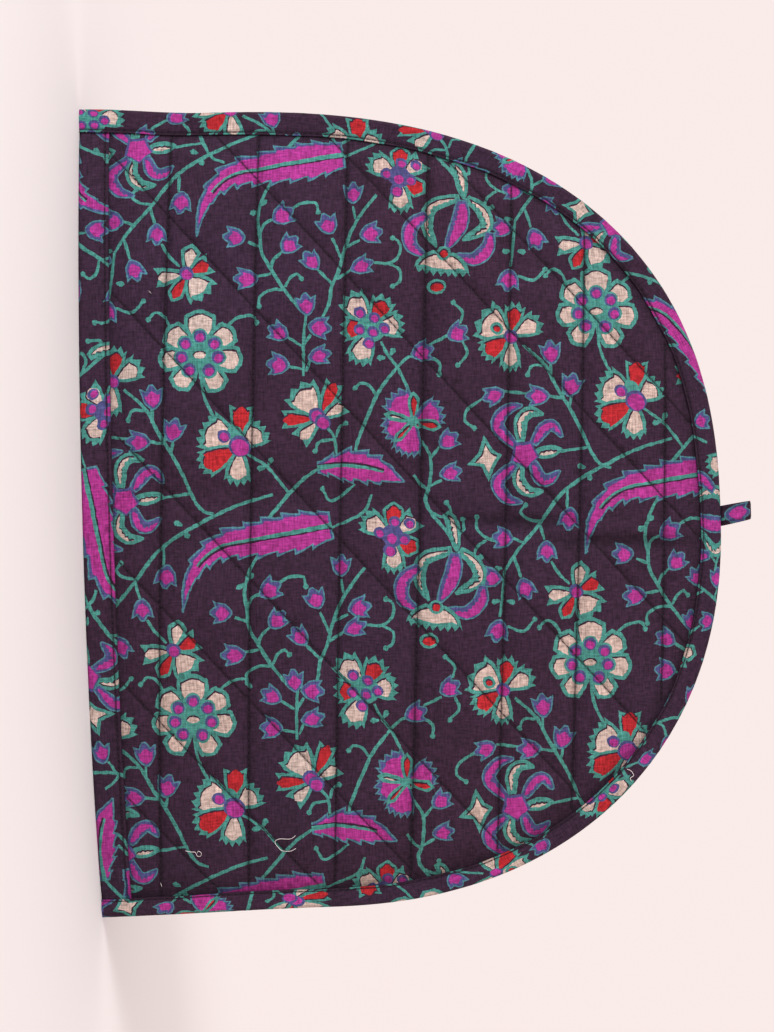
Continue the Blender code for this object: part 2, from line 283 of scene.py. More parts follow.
STEMS = {
    "upper": (
        stem((36, -101), (20, -96), (2, -87), (-9, -80), (-15, -74), (-22, -64), (-31, -53), (-37, -44)),
        stem((-37, -44), (-38, -33), (-39, -24)), curl((-36, -20), (-29, -18), (-24, -23)),
        curl((-39, -56), (-45, -58), (-49, -62), (-49, -67)),
        curl((-45, -57), (-49, -54), (-50, -50), (-47, -50)), stem((-10, -79), (-10, -71)),
        stem((-22, -64), (-20, -57)), stem((-17, -48), (-14, -43), (-9, -38)),
        curl((-21, -65), (-27, -66), (-30, -69), (-28, -72)), stem((-29, -56), (-34, -58)),
        stem((-33, -50), (-30, -41)), stem((61, -87), (68, -90), (75, -94), (78, -101)),
        stem((30, -76), (26, -68), (24, -60), (25, -52), (26, -44), (30, -37), (35, -29), (42, -20)),
        stem((25, -52), (27, -57), (31, -59)), curl((38, -63), (43, -66), (49, -66), (50, -62)),
        stem((25, -47), (20, -49)), stem((30, -37), (31, -41), (35, -45)), stem((30, -35), (24, -34)),
        curl((36, -28), (30, -28), (25, -25), (25, -21)),
        curl((36, -29), (38, -33), (41, -35), (43, -33)),
        stem((75, -70), (67, -59), (62, -48), (59, -37), (56, -30), (55, -23), (52, -16)),
        stem((66, -59), (65, -65)), stem((60, -42), (56, -51)), stem((62, -47), (68, -50)),
        stem((56, -31), (50, -37)),
    ),
    "lower": (
        stem((58, -33), (64, -37)), curl((74, -40), (81, -40), (85, -44), (85, -49), (82, -51)),
        curl((80, -40), (85, -37), (85, -32), (82, -30)), stem((45, -18), (44, -6), (44, 9)),
        stem((37, -8), (43, -4)), stem((38, 5), (44, 6)), stem((47, -9), (44, -4)),
        stem((47, 2), (45, 7)), stem((0, 6), (2, 18), (7, 28), (13, 36)),
        curl((-12, -10), (-15, -16), (-19, -18), (-22, -15)),
        curl((11, -12), (16, -16), (22, -17), (24, -14)), stem((20, 42), (29, 48), (34, 54), (38, 59)),
        stem((51, 48), (44, 53), (38, 59), (33, 65), (28, 71)), stem((54, 31), (57, 35), (58, 42)),
        curl((57, 36), (51, 37), (49, 41)), curl((58, 35), (59, 31), (62, 29)),
        curl((66, 55), (60, 60), (55, 62), (52, 57)), stem((77, -6), (80, 0), (84, 5)),
        stem((84, 5), (77, 14), (73, 22), (67, 37), (66, 43)),
        curl((75, 17), (72, 13), (68, 12), (66, 14)), stem((84, 5), (88, 1), (91, 0)),
        stem((84, 5), (88, 13), (90, 18)), stem((98, -5), (106, -9)), curl((97, 0), (102, 3), (102, 8)),
        stem((94, 36), (98, 43), (98, 54), (96, 62), (99, 68), (104, 74), (109, 81)),
        curl((99, 67), (103, 69), (107, 67), (105, 63)), curl((102, 72), (107, 76), (112, 75), (112, 70)),
        stem((98, 44), (102, 39)), stem((98, 56), (103, 53)), stem((98, 58), (94, 55), (91, 51)),
    ),
    "outer": (
        curl((111, -14), (112, -19), (108, -23)), curl((112, -6), (114, -1), (110, 4)),
        stem((138, -5), (147, 3), (153, 14), (158, 22), (163, 31), (167, 40), (171, 46), (176, 48)),
        stem((150, 3), (150, 9)), stem((159, 17), (158, 22)), curl((147, 4), (142, 4), (140, 8)),
        curl((121, 18), (114, 23), (113, 28), (117, 31)), stem((130, 15), (140, 16)),
        stem((148, 17), (155, 18)), stem((154, 41), (166, 39)),
    ),
}

LEAFLETS = {
    "upper": (
        (-1, -86, 70), (-2, -88, 200), (-38, -45, 175), (-39, -31, 170), (-36, -31, 15), (24, -63, 150),
        (25, -65, -40),
    ),
    "lower": (
        (29, 47, -62), (28, 48, 172), (81, 0, -60), (79, 1, 178),
    ),
    "outer": ((155, 17, -60),),
}

# Petals bent along a line, of the pomegranate and then of the lily
Curve = namedtuple("Curve", "points width fill")
CURVES = (
    Curve(((111, -69), (99, -65), (97, -56), (101, -47)), 6.4, "cream"),
    Curve(((114, -69), (121, -63), (122, -56), (112, -50)), 6.4, "cream"),
    Curve(((97, -62), (90, -56), (90, -48), (97, -43)), 7.2, "magenta"),
    Curve(((124, -54), (123, -47), (117, -42), (109, -44)), 7.2, "magenta"),
    Curve(((112, -68), (111, -58), (105, -46)), 8.2, "magenta"),
    Curve(((108, -85), (111, -80), (113, -68)), 6.2, "cream"),
    Curve(((135, 39), (127, 30), (131, 23), (138, 21)), 6.6, "magenta"),
    Curve(((137, 37), (137, 28), (141, 24), (147, 25)), 6.2, "cream"),
    Curve(((142, 38), (147, 31), (151, 30), (155, 35)), 6.4, "magenta"),
    Curve(((142, 45), (145, 52), (149, 53), (154, 49)), 6.4, "magenta"),
    Curve(((137, 46), (136, 53), (140, 58), (147, 58)), 6.2, "cream"),
    Curve(((135, 46), (127, 54), (131, 61), (138, 63)), 6.6, "magenta"),
    Curve(((143, 42), (149, 41), (155, 40)), 6.0, "cream"),
)
LILY_STAR = ((-98, 10.5), (-13, 6.8), (87, 10.5), (162, 9.5))
LILY_STAR_AT = (122.5, 44)
LILY_STAR_WAIST = 4.6
LILY_HEART_AT = (138.5, 42)


def smooth(share):
    """Rises evenly from 0 to 1 as share does."""
    share = np.clip(share, 0.0, 1.0)
    return share * share * (3 - 2 * share)


def spline(points, step=OUTLINE_STEP):
    """A smooth line through points, with a point about every step."""
    points = np.array(points, dtype=float)
    if len(points) == 2:
        count = max(2, int(np.hypot(*(points[1] - points[0])) / step) + 1)
        return points[0] + (points[1] - points[0]) * np.linspace(0, 1, count)[:, None]
    ends = np.vstack((2 * points[0] - points[1], points, 2 * points[-1] - points[-2]))
    line = []
    for a, b, c, d in zip(ends, ends[1:], ends[2:], ends[3:]):
        count = max(1, round(np.hypot(*(c - b)) / step))
        t = (np.arange(count) / count)[:, None]
        bend, twist = 2 * a - 5 * b + 4 * c - d, 3 * b - a - 3 * c + d
        line.append(0.5 * (2 * b + (c - a) * t + bend * t**2 + twist * t**3))
    return np.vstack((*line, points[-1:]))


def unit(vectors):
    """Vectors of the plane, made one long."""
    return vectors / np.maximum(np.hypot(*vectors.T), 1e-9)[:, None]


def normals_of(line):
    """Unit normals of a line, to the left of its direction."""
    along = unit(np.gradient(line, axis=0))
    return np.column_stack((-along[:, 1], along[:, 0]))


def ribbon(line, widths):
    """The closed outline of a line with a width at each of its points."""
    away = normals_of(line) * (np.asarray(widths) / 2)[:, None]
    return np.vstack((line + away, (line - away)[::-1]))


# A closed outline, counterclockwise, and the toothless one that its fill keeps to
Shape = namedtuple("Shape", "outline core")


def counterclockwise(outline):
    x, y = outline.T
    area = (x * np.roll(y, -1) - np.roll(x, -1) * y).sum()
    return outline if area > 0 else outline[::-1]


def shrunk(outline, inset):
    """The closed outline moved in by inset. Where it overturns, it is turned round clockwise."""
    if inset <= 0:
        return outline
    along = unit(np.roll(outline, -1, axis=0) - outline)
    inward = np.column_stack((-along[:, 1], along[:, 0]))
    both = inward + np.roll(inward, 1, axis=0)
    spread = np.maximum((both**2).sum(axis=1) / 2, 0.4)
    return outline + inset * both / spread[:, None]


def petal(length, width, teeth, neck=2.2, plump=1.0):
    """A petal along +u: narrow at its neck, with a toothed end, or a scalloped one if teeth is 0."""
    shoulder, edge = 0.74 * length, width / 2
    share = np.linspace(0, 1, 7)
    half = neck / 2 + (edge - neck / 2) * np.sin(math.pi / 2 * share) ** plump
    side = np.column_stack((shoulder * share, half))
    side_back = (side * (1, -1))[::-1]
    turn = np.radians(np.linspace(78, -78, 17))
    lobes = 0.42 * length**0.5 * np.abs(np.cos(2.2 * turn))
    if teeth > 1:
        teeth += teeth // 3
        across = np.linspace(1.06, -1.06, teeth)
        tips = np.column_stack((length - (length - shoulder) * 0.45 * across**2, edge * across))
        depth = min(2.1, 1.3 * width / teeth)
        end = np.empty((2 * teeth - 1, 2))
        end[::2], end[1::2] = tips, (tips[:-1] + tips[1:]) / 2 - (depth, 0)
        reach = length - depth - 0.5
    elif teeth == 1:
        end = np.array(((shoulder + 0.35 * (length - shoulder), 0.78 * edge), (length, 0)))
        end = np.vstack((end, end[:1] * (1, -1)))
        reach = length - 1.2
    else:
        reach = length
        lobes = 0.9 * np.abs(np.cos(2 * turn))
    far = shoulder + (reach - shoulder - 0.8) * np.cos(turn) ** 0.7 + lobes
    round_end = np.column_stack((far, edge * np.sin(turn)))
    if teeth == 0:
        core = np.vstack((side, round_end, side_back))
        return Shape(core[::-1], core[::-1])
    core = np.vstack((side[:-1], round_end, side_back[1:]))
    return Shape(np.vstack((side, end, side_back))[::-1], core[::-1])


def bud(length, spread):
    """A tulip-like bud along +u with three tips, and its middle at the origin."""
    side = np.array(((0, 0.8), (1.2, 2.4), (3.0, 3.9), (5.4, 4.6), (7.4, 4.9), (9.2, 5.4), (9.0, 4.3),
                     (8.2, 2.6), (9.4, 1.9)))
    half = np.array(((0.3, 0.6), (1.5, 2.5), (3.4, 4.0), (5.4, 4.5), (7.0, 4.6), (8.6, 4.4), (7.9, 2.7),
                     (9.0, 1.6)))
    stretch = np.array((length / 11, spread / 10.8))
    outline = np.vstack((side, ((10.8, 0.9), (10.8, -0.9)), (side * (1, -1))[::-1]))
    core = np.vstack((half, ((9.8, 0),), (half * (1, -1))[::-1]))
    return Shape(*(counterclockwise((line - (5.5, 0)) * stretch) for line in (outline, core)))


def disc(radius, squash=1.0):
    """A round spot, or an oval one if squashed."""
    turn = np.radians(np.arange(0, 360, 30))
    outline = np.column_stack((radius * np.cos(turn), radius * squash * np.sin(turn)))
    return Shape(outline, outline)


def bent(points, width):
    """A petal bent along a line, pointed at its far end, with a ragged fill on the inside of the bend."""
    line = spline(points, 1.3)
    share = np.linspace(0, 1, len(line))
    half = width / 2 * np.sin(math.pi * np.clip(0.12 + 0.86 * share, 0, 1)) ** 0.6
    away = normals_of(line) * half[:, None]
    left, right = line + away, line - away
    (ax, ay), (bx, by) = line[-1] - line[0], line[len(line) // 2] - line[0]
    ragged = np.where(np.arange(len(line)) % 2, 0.75, 0.2)[:, None] * away / np.maximum(half, 1e-6)[:, None]
    if ax * by - ay * bx < 0:
        core = np.vstack((left - ragged, right[::-1]))
    else:
        core = np.vstack((left, (right + ragged)[::-1]))
    return Shape(counterclockwise(np.vstack((left, right[::-1]))), counterclockwise(core))


def serrated(points, widths, teeth):
    """A leaf from its tip to its stalk, with teeth on both sides that point to its tip."""
    line = spline(points, 1.1)
    share = np.linspace(0, 1, len(line))
    half = np.interp(share, np.linspace(0, 1, len(widths)), widths) / 2
    away = normals_of(line)
    along = np.column_stack((away[:, 1], -away[:, 0]))
    sides, cores = [], []
    for sign, phase in ((1, 0.1), (-1, 0.55)):
        saw = (share * teeth + phase) % 1.0
        grown = smooth(share * 4 - 0.4) * smooth((1 - share) * 8)
        tooth = LEAF_TOOTH * grown * (1 - saw) ** 1.5
        out = (half - 0.9 * grown + tooth)[:, None]
        sides.append(line + sign * out * away - 0.55 * tooth[:, None] * along)
        cores.append(line + sign * (half - 0.5 * grown + 0.45 * tooth)[:, None] * away)
    return Shape(*(counterclockwise(np.vstack((a, b[::-1]))) for a, b in (sides, cores)))


def placed(outline, at, angle):
    turn = math.radians(angle)
    along = np.array((math.cos(turn), math.sin(turn)))
    across = np.array((-along[1], along[0]))
    return np.array(at) + outline[:, :1] * along + outline[:, 1:] * across


Patch = namedtuple("Patch", "outline ink within_last")


def patches_of(shape, kind, at=(0, 0), angle=0.0):
    """The patches of one shape, from the outermost one in. A fill only shows within the one before it."""
    found = []
    for layer in LAYERS[kind]:
        outline = shrunk(subdivided(shape.core if layer.from_core else shape.outline), layer.inset)
        outline = placed(outline, at, angle)
        is_fill = len(found) > 0 and layer is LAYERS[kind][-1]
        if is_fill:
            outline = outline + REGISTER_SLIP
        found.append(Patch(outline, layer.ink, is_fill))
    return found


def line_patch(line, widths, ink):
    return Patch(counterclockwise(ribbon(line, widths)), ink, False)


def stem_patches(row):
    """A stem, slimmer if it is short or curls."""
    line = spline(row.points)
    share = np.linspace(0, 1, len(line))
    width = STEM_WIDTH if len(row.points) > 4 and not row.curls else STALK_WIDTH
    found = [line_patch(line, width * (0.75 + 0.25 * np.sin(math.pi * share) ** 0.5), "teal")]
    if row.curls:
        found += patches_of(disc(CURL_DOT), "teal", line[-1])
    return found


def leaf_patches(leaf):
    """A saw-edged leaf with its midrib, which has a dark line beside it."""
    found = patches_of(serrated(leaf.points, leaf.widths, leaf.teeth), "leaf")
    line = spline(leaf.points, 1.6)
    line = line[len(line) // 4 :]
    found.append(line_patch(line + normals_of(line) * 0.95, np.full(len(line), 1.0), "ground"))
    found.append(line_patch(line, np.linspace(0.8, 2.1, len(line)), "teal"))
    return found


def flower_patches(kind, u, v):
    """A flower's petals, and its heart over them."""
    found = []
    at = np.array((u, v), dtype=float)
    for row in FLOWERS[kind]:
        found += patches_of(petal(row.length, row.width, row.teeth), row.fill, at, row.angle)
    if kind == "rosette":
        found += patches_of(disc(ROSETTE_DISC), "teal", at)
        for row in FLOWERS[kind]:
            turn = math.radians(row.angle)
            spot = at + ROSETTE_RING * np.array((math.cos(turn), math.sin(turn)))
            found += patches_of(disc(ROSETTE_DOT_RIM), "teal", spot)
            found += patches_of(disc(ROSETTE_DOT), "dot", spot)
        found += patches_of(disc(ROSETTE_EYE, 0.74), "cream", at)
    for spot in HEARTS.get(kind, ()):
        found += patches_of(disc(spot.radius, 0.9), spot.kind, at + (spot.u, spot.v), 40)
    return found


def bud_patches(u, v, angle):
    """A bud, a little different in size and turn from the next one."""
    length, spread, turn = random.uniform((9.8, 9.2, -10), (11.4, 11.0, 10))
    return patches_of(bud(length, spread), "magenta", (u, v), angle + turn)


def rayed(rays, waist):
    """A star with a tip for each angle and reach, drawn in to the waist between them."""
    points = []
    for (angle, reach), (after, _) in zip(rays, rays[1:] + rays[:1]):
        between = angle + ((after - angle) % 360) / 2
        for turn, far in ((angle, reach), (between, waist)):
            turn = math.radians(turn)
            points.append((far * math.cos(turn), far * math.sin(turn)))
    outline = counterclockwise(np.array(points))
    return Shape(outline, outline)


def pomegranate_foot():
    """The toothed cream foot of the pomegranate, with a red dot above it and a red drop below."""
    drop = patches_of(disc(4.4, 0.8), "red", (101, -30))
    crown = patches_of(petal(11.5, 24.0, 7, neck=9.0, plump=0.7), "cream", (104, -45.5), 97)
    dot = patches_of(disc(3.3), "red", (104, -44.5))
    return drop + crown + dot


def block_patches(name):
    """The stems of one printing block, and the flowers and leaves that lie over them."""
    stems, found = [], []
    for row in STEMS[name]:
        stems += stem_patches(row)
    leaflet = petal(3.8, 2.4, 1, neck=0.8)
    for u, v, angle in LEAFLETS[name]:
        stems += patches_of(leaflet, "teal", (u, v), angle)
    if name in LEAVES:
        found += leaf_patches(LEAVES[name])
    for row in BUDS[name]:
        found += bud_patches(*row)
    for row in BLOOMS[name]:
        found += flower_patches(*row)
    if name == "outer":
        found += patches_of(rayed(LILY_STAR, LILY_STAR_WAIST), "cream", LILY_STAR_AT)
        for curve in CURVES:
            found += patches_of(bent(curve.points, curve.width), curve.fill)
        heart = rayed([(72 * k + 10, 6.6) for k in range(5)], 5.0)
        found += patches_of(heart, "dot", LILY_HEART_AT)
        found += pomegranate_foot()
    return stems, found


def subdivided(outline, step=OUTLINE_STEP):
    """The closed outline with its long edges divided, and its shortest ones dropped."""
    after = np.roll(outline, -1, axis=0)
    points = []
    for a, b in zip(outline, after):
        length = math.hypot(*(b - a))
        if length < SHORTEST_EDGE:
            continue
        count = max(1, round(length / step))
        points.extend(a + (b - a) * i / count for i in range(count))
    return np.array(points)


BLOCK_PATCHES = {name: block_patches(name) for name in BLOCKS}

# How the print lies on a flat piece: where the rosette's middle is, and the turn of +u from +x.
Lay = namedtuple("Lay", "x y turn")


def print_on(lay, low, high):
    """The patches that fall on the flat piece between two corners: all stems, and then the rest."""
    turn = math.radians(lay.turn)
    along = np.array((math.cos(turn), math.sin(turn)))
    across = np.array((along[1], -along[0]))
    found = []
    reach = range(-STAMPS_EACH_WAY, STAMPS_EACH_WAY + 1)
    for over, (name, block), i, j in product((0, 1), BLOCKS.items(), reach, reach):
        slip = np.array(STAMP_SLIPS.get((name, i, j), (0.0, 0.0)))
        shift = i * np.array(block.along) + j * np.array(block.across) + slip
        found += stamped(BLOCK_PATCHES[name][over], shift, lay, along, across, low, high)
    return found


def stamped(patches, shift, lay, along, across, low, high):
    """One stamp of a block. Patches off the piece are left out together with what lies within them."""
    found = []
    kept_last = False
    for patch in patches:
        chart = patch.outline + shift
        outline = ((lay.x, lay.y) + chart[:, :1] * along + chart[:, 1:] * across)[::-1]
        inside = (outline.max(axis=0) > low).all() and (outline.min(axis=0) < high).all()
        kept_last = inside and (kept_last or not patch.within_last)
        if kept_last:
            outline = outline + random.normal(0, WOBBLE, outline.shape)
            found.append(Patch(outline, patch.ink, patch.within_last))
    return found


# Flat nets ---------------------------------------------------------------------


def lattice(low, high, pitch):
    """Points in staggered rows between two corners, a little uneven."""
    row_height = pitch * math.sqrt(3) / 2
    points = []
    for j, y in enumerate(np.arange(low[1] + pitch / 2, high[1] - pitch / 3, row_height)):
        x = np.arange(low[0] + pitch * (0.5 + (j % 2) / 2), high[0] - pitch / 3, pitch)
        points.append(np.column_stack((x, np.full(len(x), y))))
    points = np.vstack(points)
    return points + random.uniform(-0.12, 0.12, points.shape) * pitch


def flat_net(border, points, patches=(), chains=()):
    """A net of triangles within the border, with edges along the patches and the chains.

    Returns its points, its triangles, the ink of each, and its rim in order.
    """
    lines = [border] + [patch.outline for patch in patches]
    edges = []
    count = 0
    for line in lines:
        edges.extend((count + i, count + (i + 1) % len(line)) for i in range(len(line)))
        count += len(line)
    for chain in chains:
        edges.extend((count + i, count + i + 1) for i in range(len(chain) - 1))
        count += len(chain)
    net = [Vector(p) for p in np.vstack((*lines, *chains, points)).tolist()]
    found = delaunay_2d_cdt(net, edges, [], 0, MERGE_DISTANCE)
    flat = np.array([tuple(p) for p in found[0]])
    triangles = np.array(found[2])
    middles = flat[triangles].mean(axis=1)
    inside = turns_round(middles, border) != 0
    triangles, middles = triangles[inside], middles[inside]
    inks = inks_at(middles, patches)
    used, renumbered = np.unique(triangles, return_inverse=True)
    triangles = renumbered.reshape(-1, 3)
    return flat[used], triangles, inks, rim_of(triangles)


def turns_round(points, outline):
    """How many times a closed outline turns round each point."""
    x, y = points[:, :1], points[:, 1:]
    a, b = outline, np.roll(outline, -1, axis=0)
    side = (b[:, 0] - a[:, 0]) * (y - a[:, 1]) - (x - a[:, 0]) * (b[:, 1] - a[:, 1])
    up = (a[:, 1] <= y) & (b[:, 1] > y) & (side > 0)
    down = (a[:, 1] > y) & (b[:, 1] <= y) & (side < 0)
    return up.sum(axis=1) - down.sum(axis=1)


def inks_at(points, patches):
    """The number of the ink that is printed last at each point."""
    inks = np.full(len(points), INK_NAMES.index("ground"))
    order = np.argsort(points[:, 0])
    sorted_x = points[order, 0]
    last = np.zeros(len(points), dtype=bool)
    for patch in patches:
        low, high = patch.outline.min(axis=0), patch.outline.max(axis=0)
        near = order[np.searchsorted(sorted_x, low[0]) : np.searchsorted(sorted_x, high[0])]
        near = near[(points[near, 1] > low[1]) & (points[near, 1] < high[1])]
        held = near[turns_round(points[near], patch.outline) > 0]
        if patch.within_last:
            held = held[last[held]]
        inks[held] = INK_NAMES.index(patch.ink)
        last[:] = False
        last[held] = True
    return inks


def rim_of(triangles):
    """The net's rim as one closed loop of its points."""
    directed = np.vstack((triangles[:, :2], triangles[:, 1:], triangles[:, ::2][:, ::-1]))
    pairs = set(map(tuple, directed.tolist()))
    after = {a: b for a, b in pairs if (b, a) not in pairs}
    start = here = next(iter(after))
    loop = []
    while True:
        loop.append(here)
        here = after[here]
        if here == start:
            return loop


def distance_to(path, x, z):
    """How far each point is from a line of points."""
    nearest = np.full(np.shape(x), np.inf)
    for (ax, az), (bx, bz) in zip(path, path[1:]):
        dx, dz = bx - ax, bz - az
        share = np.clip(((x - ax) * dx + (z - az) * dz) / (dx * dx + dz * dz), 0, 1)
        nearest = np.minimum(nearest, np.hypot(x - ax - share * dx, z - az - share * dz))
    return nearest


def grid_within(border, pitch):
    """A lattice of points inside the border, clear of it by a part of the pitch."""
    grid = lattice(border.min(axis=0), border.max(axis=0), pitch)
    clear = distance_to(np.vstack((border, border[:1])), *grid.T) > pitch * 0.4
    return grid[clear & (turns_round(grid, border) != 0)]


# Form of the panels --------------------------------------------------------------


def half_width(right, z, inset):
    """From the apex's axis to the outline at height z, drawn in by inset."""
    shoulder = np.where(right, RIGHT.shoulder, LEFT.shoulder)
    power = np.where(right, RIGHT.arch_power, LEFT.arch_power)
    flare = np.where(right, RIGHT.flare, LEFT.flare)
    half = WIDTH / 2 - np.where(right, APEX_X, -APEX_X) - flare - inset
    share = np.clip((z - shoulder) / (HEIGHT - shoulder - inset), 0, 1)
    arch = half * (1 - share**power) ** (1 / power)
    return arch + np.where(z < shoulder, flare * (1 - smooth(z / shoulder)), 0)


def arch_outline(inset, bottom, step):
    """(x, z) points of the outline, from the hem at -X over the apex to the hem at +X."""
    halves = []
    for side in (LEFT, RIGHT):
        half = WIDTH / 2 - side.sign * APEX_X - side.flare - inset
        rise = HEIGHT - side.shoulder - inset
        straight = np.arange(bottom, side.shoulder, step)
        turn = np.linspace(0, math.pi / 2, int((half + rise) / step))
        x = np.concatenate(
            (half_width(side.sign > 0, straight, inset), half * np.cos(turn) ** (2 / side.arch_power))
        )
        z = np.concatenate((straight, side.shoulder + rise * np.sin(turn) ** (2 / side.arch_power)))
        halves.append(np.column_stack((APEX_X + side.sign * x, z)))
    return even(np.vstack((halves[0], halves[1][::-1])), step)


def even(line, step):
    """The same line with its points at even distances."""
    far = np.concatenate(([0], np.cumsum(np.hypot(*np.diff(line, axis=0).T))))
    wanted = np.linspace(0, far[-1], round(far[-1] / step) + 1)
    return np.column_stack([np.interp(wanted, far, line[:, i]) for i in (0, 1)])


LIP = arch_outline(LIP_INSET, PANEL_INSET, 6.0)


def trough(crease, seen_x, z):
    """How deep a crease is at each point."""
    along_x, along_z = crease.end_x - crease.start_x, crease.end_z - crease.start_z
    length = math.hypot(along_x, along_z)
    away_x, away_z = seen_x - crease.start_x, z - crease.start_z
    share = np.clip((away_x * along_x + away_z * along_z) / length**2, 0, 1)
    across = np.abs(away_x * along_z - away_z * along_x) / length
    return crease.depth * np.sin(math.pi * share) ** 0.5 * (1 - smooth(across / crease.half_width))


def in_sharp_crease(seen_x, z):
    """How far each point lies in the sharp creases: 1 along their middle, 0 outside them."""
    sharp = [crease for crease in CREASES if crease.half_width <= SHARP_WIDTH]
    return sum(trough(crease, seen_x, z) / crease.depth for crease in sharp)


def hollow(x, z, facing):
    """How far a panel's inner face stands off the plane between the panels."""
    half = np.maximum(half_width(x > APEX_X, z, LIP_INSET), 1e-6)
    up = np.clip(z / (HEIGHT - LIP_INSET), 0, 1)
    across = np.clip(np.abs(x - APEX_X) / half, 0, 1)
    depth = HOLLOW_HALF_DEPTH * (1 - across**2) ** ACROSS_POWER * (1 - up) ** UP_POWER
    creased = sum(trough(crease, -facing * x, z) for crease in CREASES)
    return np.maximum(0.0, depth - creased * smooth(depth / DEEPEST_SEAM_GAP))


ROWS = [(0.0, row.z, row.slope) for row in QUILT_ROWS]
DIAGONALS = [(x, 0.0, DIAGONAL_SLOPE) for x in QUILT_DIAGONALS]


def distance_to_stitching(seen_x, z, lines):
    """How far each point is from the nearest of the lines, given as (x, z, slope)."""
    nearest = np.full(np.shape(seen_x), np.inf)
    for line_x, line_z, slope in lines:
        away = np.abs((z - line_z) - slope * (seen_x - line_x)) / math.hypot(1, slope)
        nearest = np.minimum(nearest, away)
    return nearest


# Small unevenness of the cloth: a sum of waves with fixed directions
Waves = namedtuple("Waves", "directions phases")


def waves(seed, lengths):
    """Waves of the given lengths in mm, in directions and at phases that the seed settles."""
    own = np.random.default_rng(seed)
    turn = own.uniform(0, math.pi, len(lengths))
    size = 2 * math.pi / np.array(lengths)
    directions = np.column_stack((np.cos(turn) * size, np.sin(turn) * size))
    return Waves(directions, own.uniform(0, 6.28, len(lengths)))


def ripple(waving, x, z):
    """The waves' mean at each point, from -1 to 1."""
    total = sum(np.sin(x * kx + z * kz + phase) for (kx, kz), phase in zip(*waving))
    return total / len(waving.phases)


def tight(away, reach=0.45):
    """How tightly the cloth is drawn together at a distance from its stitching, from 0 to 1. The same falloff
    spreads the painted shade beside stitching, seams and folded edges.
    """
    return np.exp(-((away / reach) ** 2))


CHAIN_STEP = 2.2  # between the net's points along a stitched or folded line
PUCKERS = waves(3, (5.5, 6.7, 8.1, 9.6, 11.8, 14.0))
SWELLS = waves(5, (26, 33, 41, 52, 67))
GROOVE_DEPTH = 0.6
GROOVE_REACH = 0.8
DIAGONAL_PULL = 0.72
PUCKER_HEIGHT = 0.55
SWELL_HEIGHT = 0.55


def thickness(x, z, facing):
    """The quilted panel's thickness: thin in its seams and at its stitching, full between."""
    seen_x = -facing * x
    to_row, to_diagonal = distance_to_stitching(seen_x, z, ROWS), distance_to_stitching(seen_x, z, DIAGONALS)
    away = np.minimum(to_row, to_diagonal)
    share = np.clip(away / PUFF_REACH, 0, 1)
    drawn_in = np.maximum(1 - to_row / PUFF_REACH, DIAGONAL_PULL * (1 - to_diagonal / PUFF_REACH))
    full = FULL_THICKNESS - (FULL_THICKNESS - STITCH_THICKNESS) * np.clip(drawn_in, 0, 1) ** 2
    full += SWELL_HEIGHT * ripple(SWELLS, x, z) * share
    full += PUCKER_HEIGHT * ripple(PUCKERS, x, z) * np.exp(-away / 5) * smooth(away / 1.5)
    full -= GROOVE_DEPTH * tight(away, GROOVE_REACH)
    above_band = smooth((z - HEM_BAND_HEIGHT - CLEARANCE) / SEAM_RAMP)
    full = HEM_THICKNESS + (full - HEM_THICKNESS) * above_band
    inside = np.abs(x - APEX_X) < half_width(x > APEX_X, z, LIP_INSET)
    inward = np.where(inside & (z < HEIGHT - LIP_INSET), smooth(distance_to(LIP, x, z) / SEAM_RAMP), 0)
    return EDGE_THICKNESS + (full - EDGE_THICKNESS) * inward


# Meshes ------------------------------------------------------------------------

# How far apart the net's points are, on a piece's printed face and on its plain one
PANEL_PITCHES = (2.7, 6.0)
STRIP_PITCHES = (2.2, 2.5)
LOOP_PITCHES = (1.0, 1.2)


def linear(colour):
    """A colour of 0 to 255 as the linear values that the shaders use."""
    share = np.array(colour) / 255
    return np.where(share <= 0.04045, share / 12.92, ((share + 0.055) / 1.055) ** 2.4)


def make_object(name, vertices, faces, material):
    mesh = bpy.data.meshes.new(name)
    mesh.from_pydata(vertices, [], faces)
    mesh.materials.append(material)
    mesh.shade_smooth()
    obj = bpy.data.objects.new(name, mesh)
    bpy.context.scene.collection.objects.link(obj)
    return obj


def printed_shell(name, material, border, lay, chains, face_place, painted_shade, pitches):
    """A closed piece of cloth: a printed outer face and a plain inner one, joined round the rim.

    Face_place gives the function that places a face: the outer one, or the one under it.
    Its shade argument gives how much painted shade darkens the cloth at each flat point, from 0 to 1: shade
    painted into grooves, seams, creases and folded edges.
    """
    patches = print_on(lay, border.min(axis=0), border.max(axis=0))
    flat, triangles, inks, rim = flat_net(border, grid_within(border, pitches[0]), patches, chains)
    inner_flat, inner_triangles, inner_inks, inner_rim = flat_net(flat[rim], grid_within(border, pitches[1]))
    start = int(np.argmin(np.hypot(*(inner_flat[inner_rim] - flat[rim[0]]).T)))
    inner_rim = inner_rim[start:] + inner_rim[:start]
    count = len(flat)
    vertices = np.vstack((face_place(False)(*flat.T), face_place(True)(*inner_flat.T))) * MM
    faces = [tuple(t) for t in triangles.tolist()]
    faces += [(count + c, count + b, count + a) for a, b, c in inner_triangles.tolist()]
    size = len(rim)
    for i in range(size):
        j = (i + 1) % size
        faces.append((rim[j], rim[i], count + inner_rim[i]))
        faces.append((rim[j], count + inner_rim[i], count + inner_rim[j]))
    obj = make_object(name, vertices.tolist(), faces, material)
    corners = vertices[np.array(faces)]
    if np.einsum("ij,ij->", corners[:, 0], np.cross(corners[:, 1], corners[:, 2])) < 0:
        obj.data.flip_normals()
    plain = np.full(2 * size, INK_NAMES.index("ground"))
    both = np.vstack((flat, inner_flat))
    colour_cloth(obj, both, np.concatenate((inks, inner_inks, plain)))
    layer = obj.data.attributes.new("painted_shade", "FLOAT", "POINT")
    layer.data.foreach_set("value", np.clip(painted_shade(*both.T), 0, 1))
    return obj


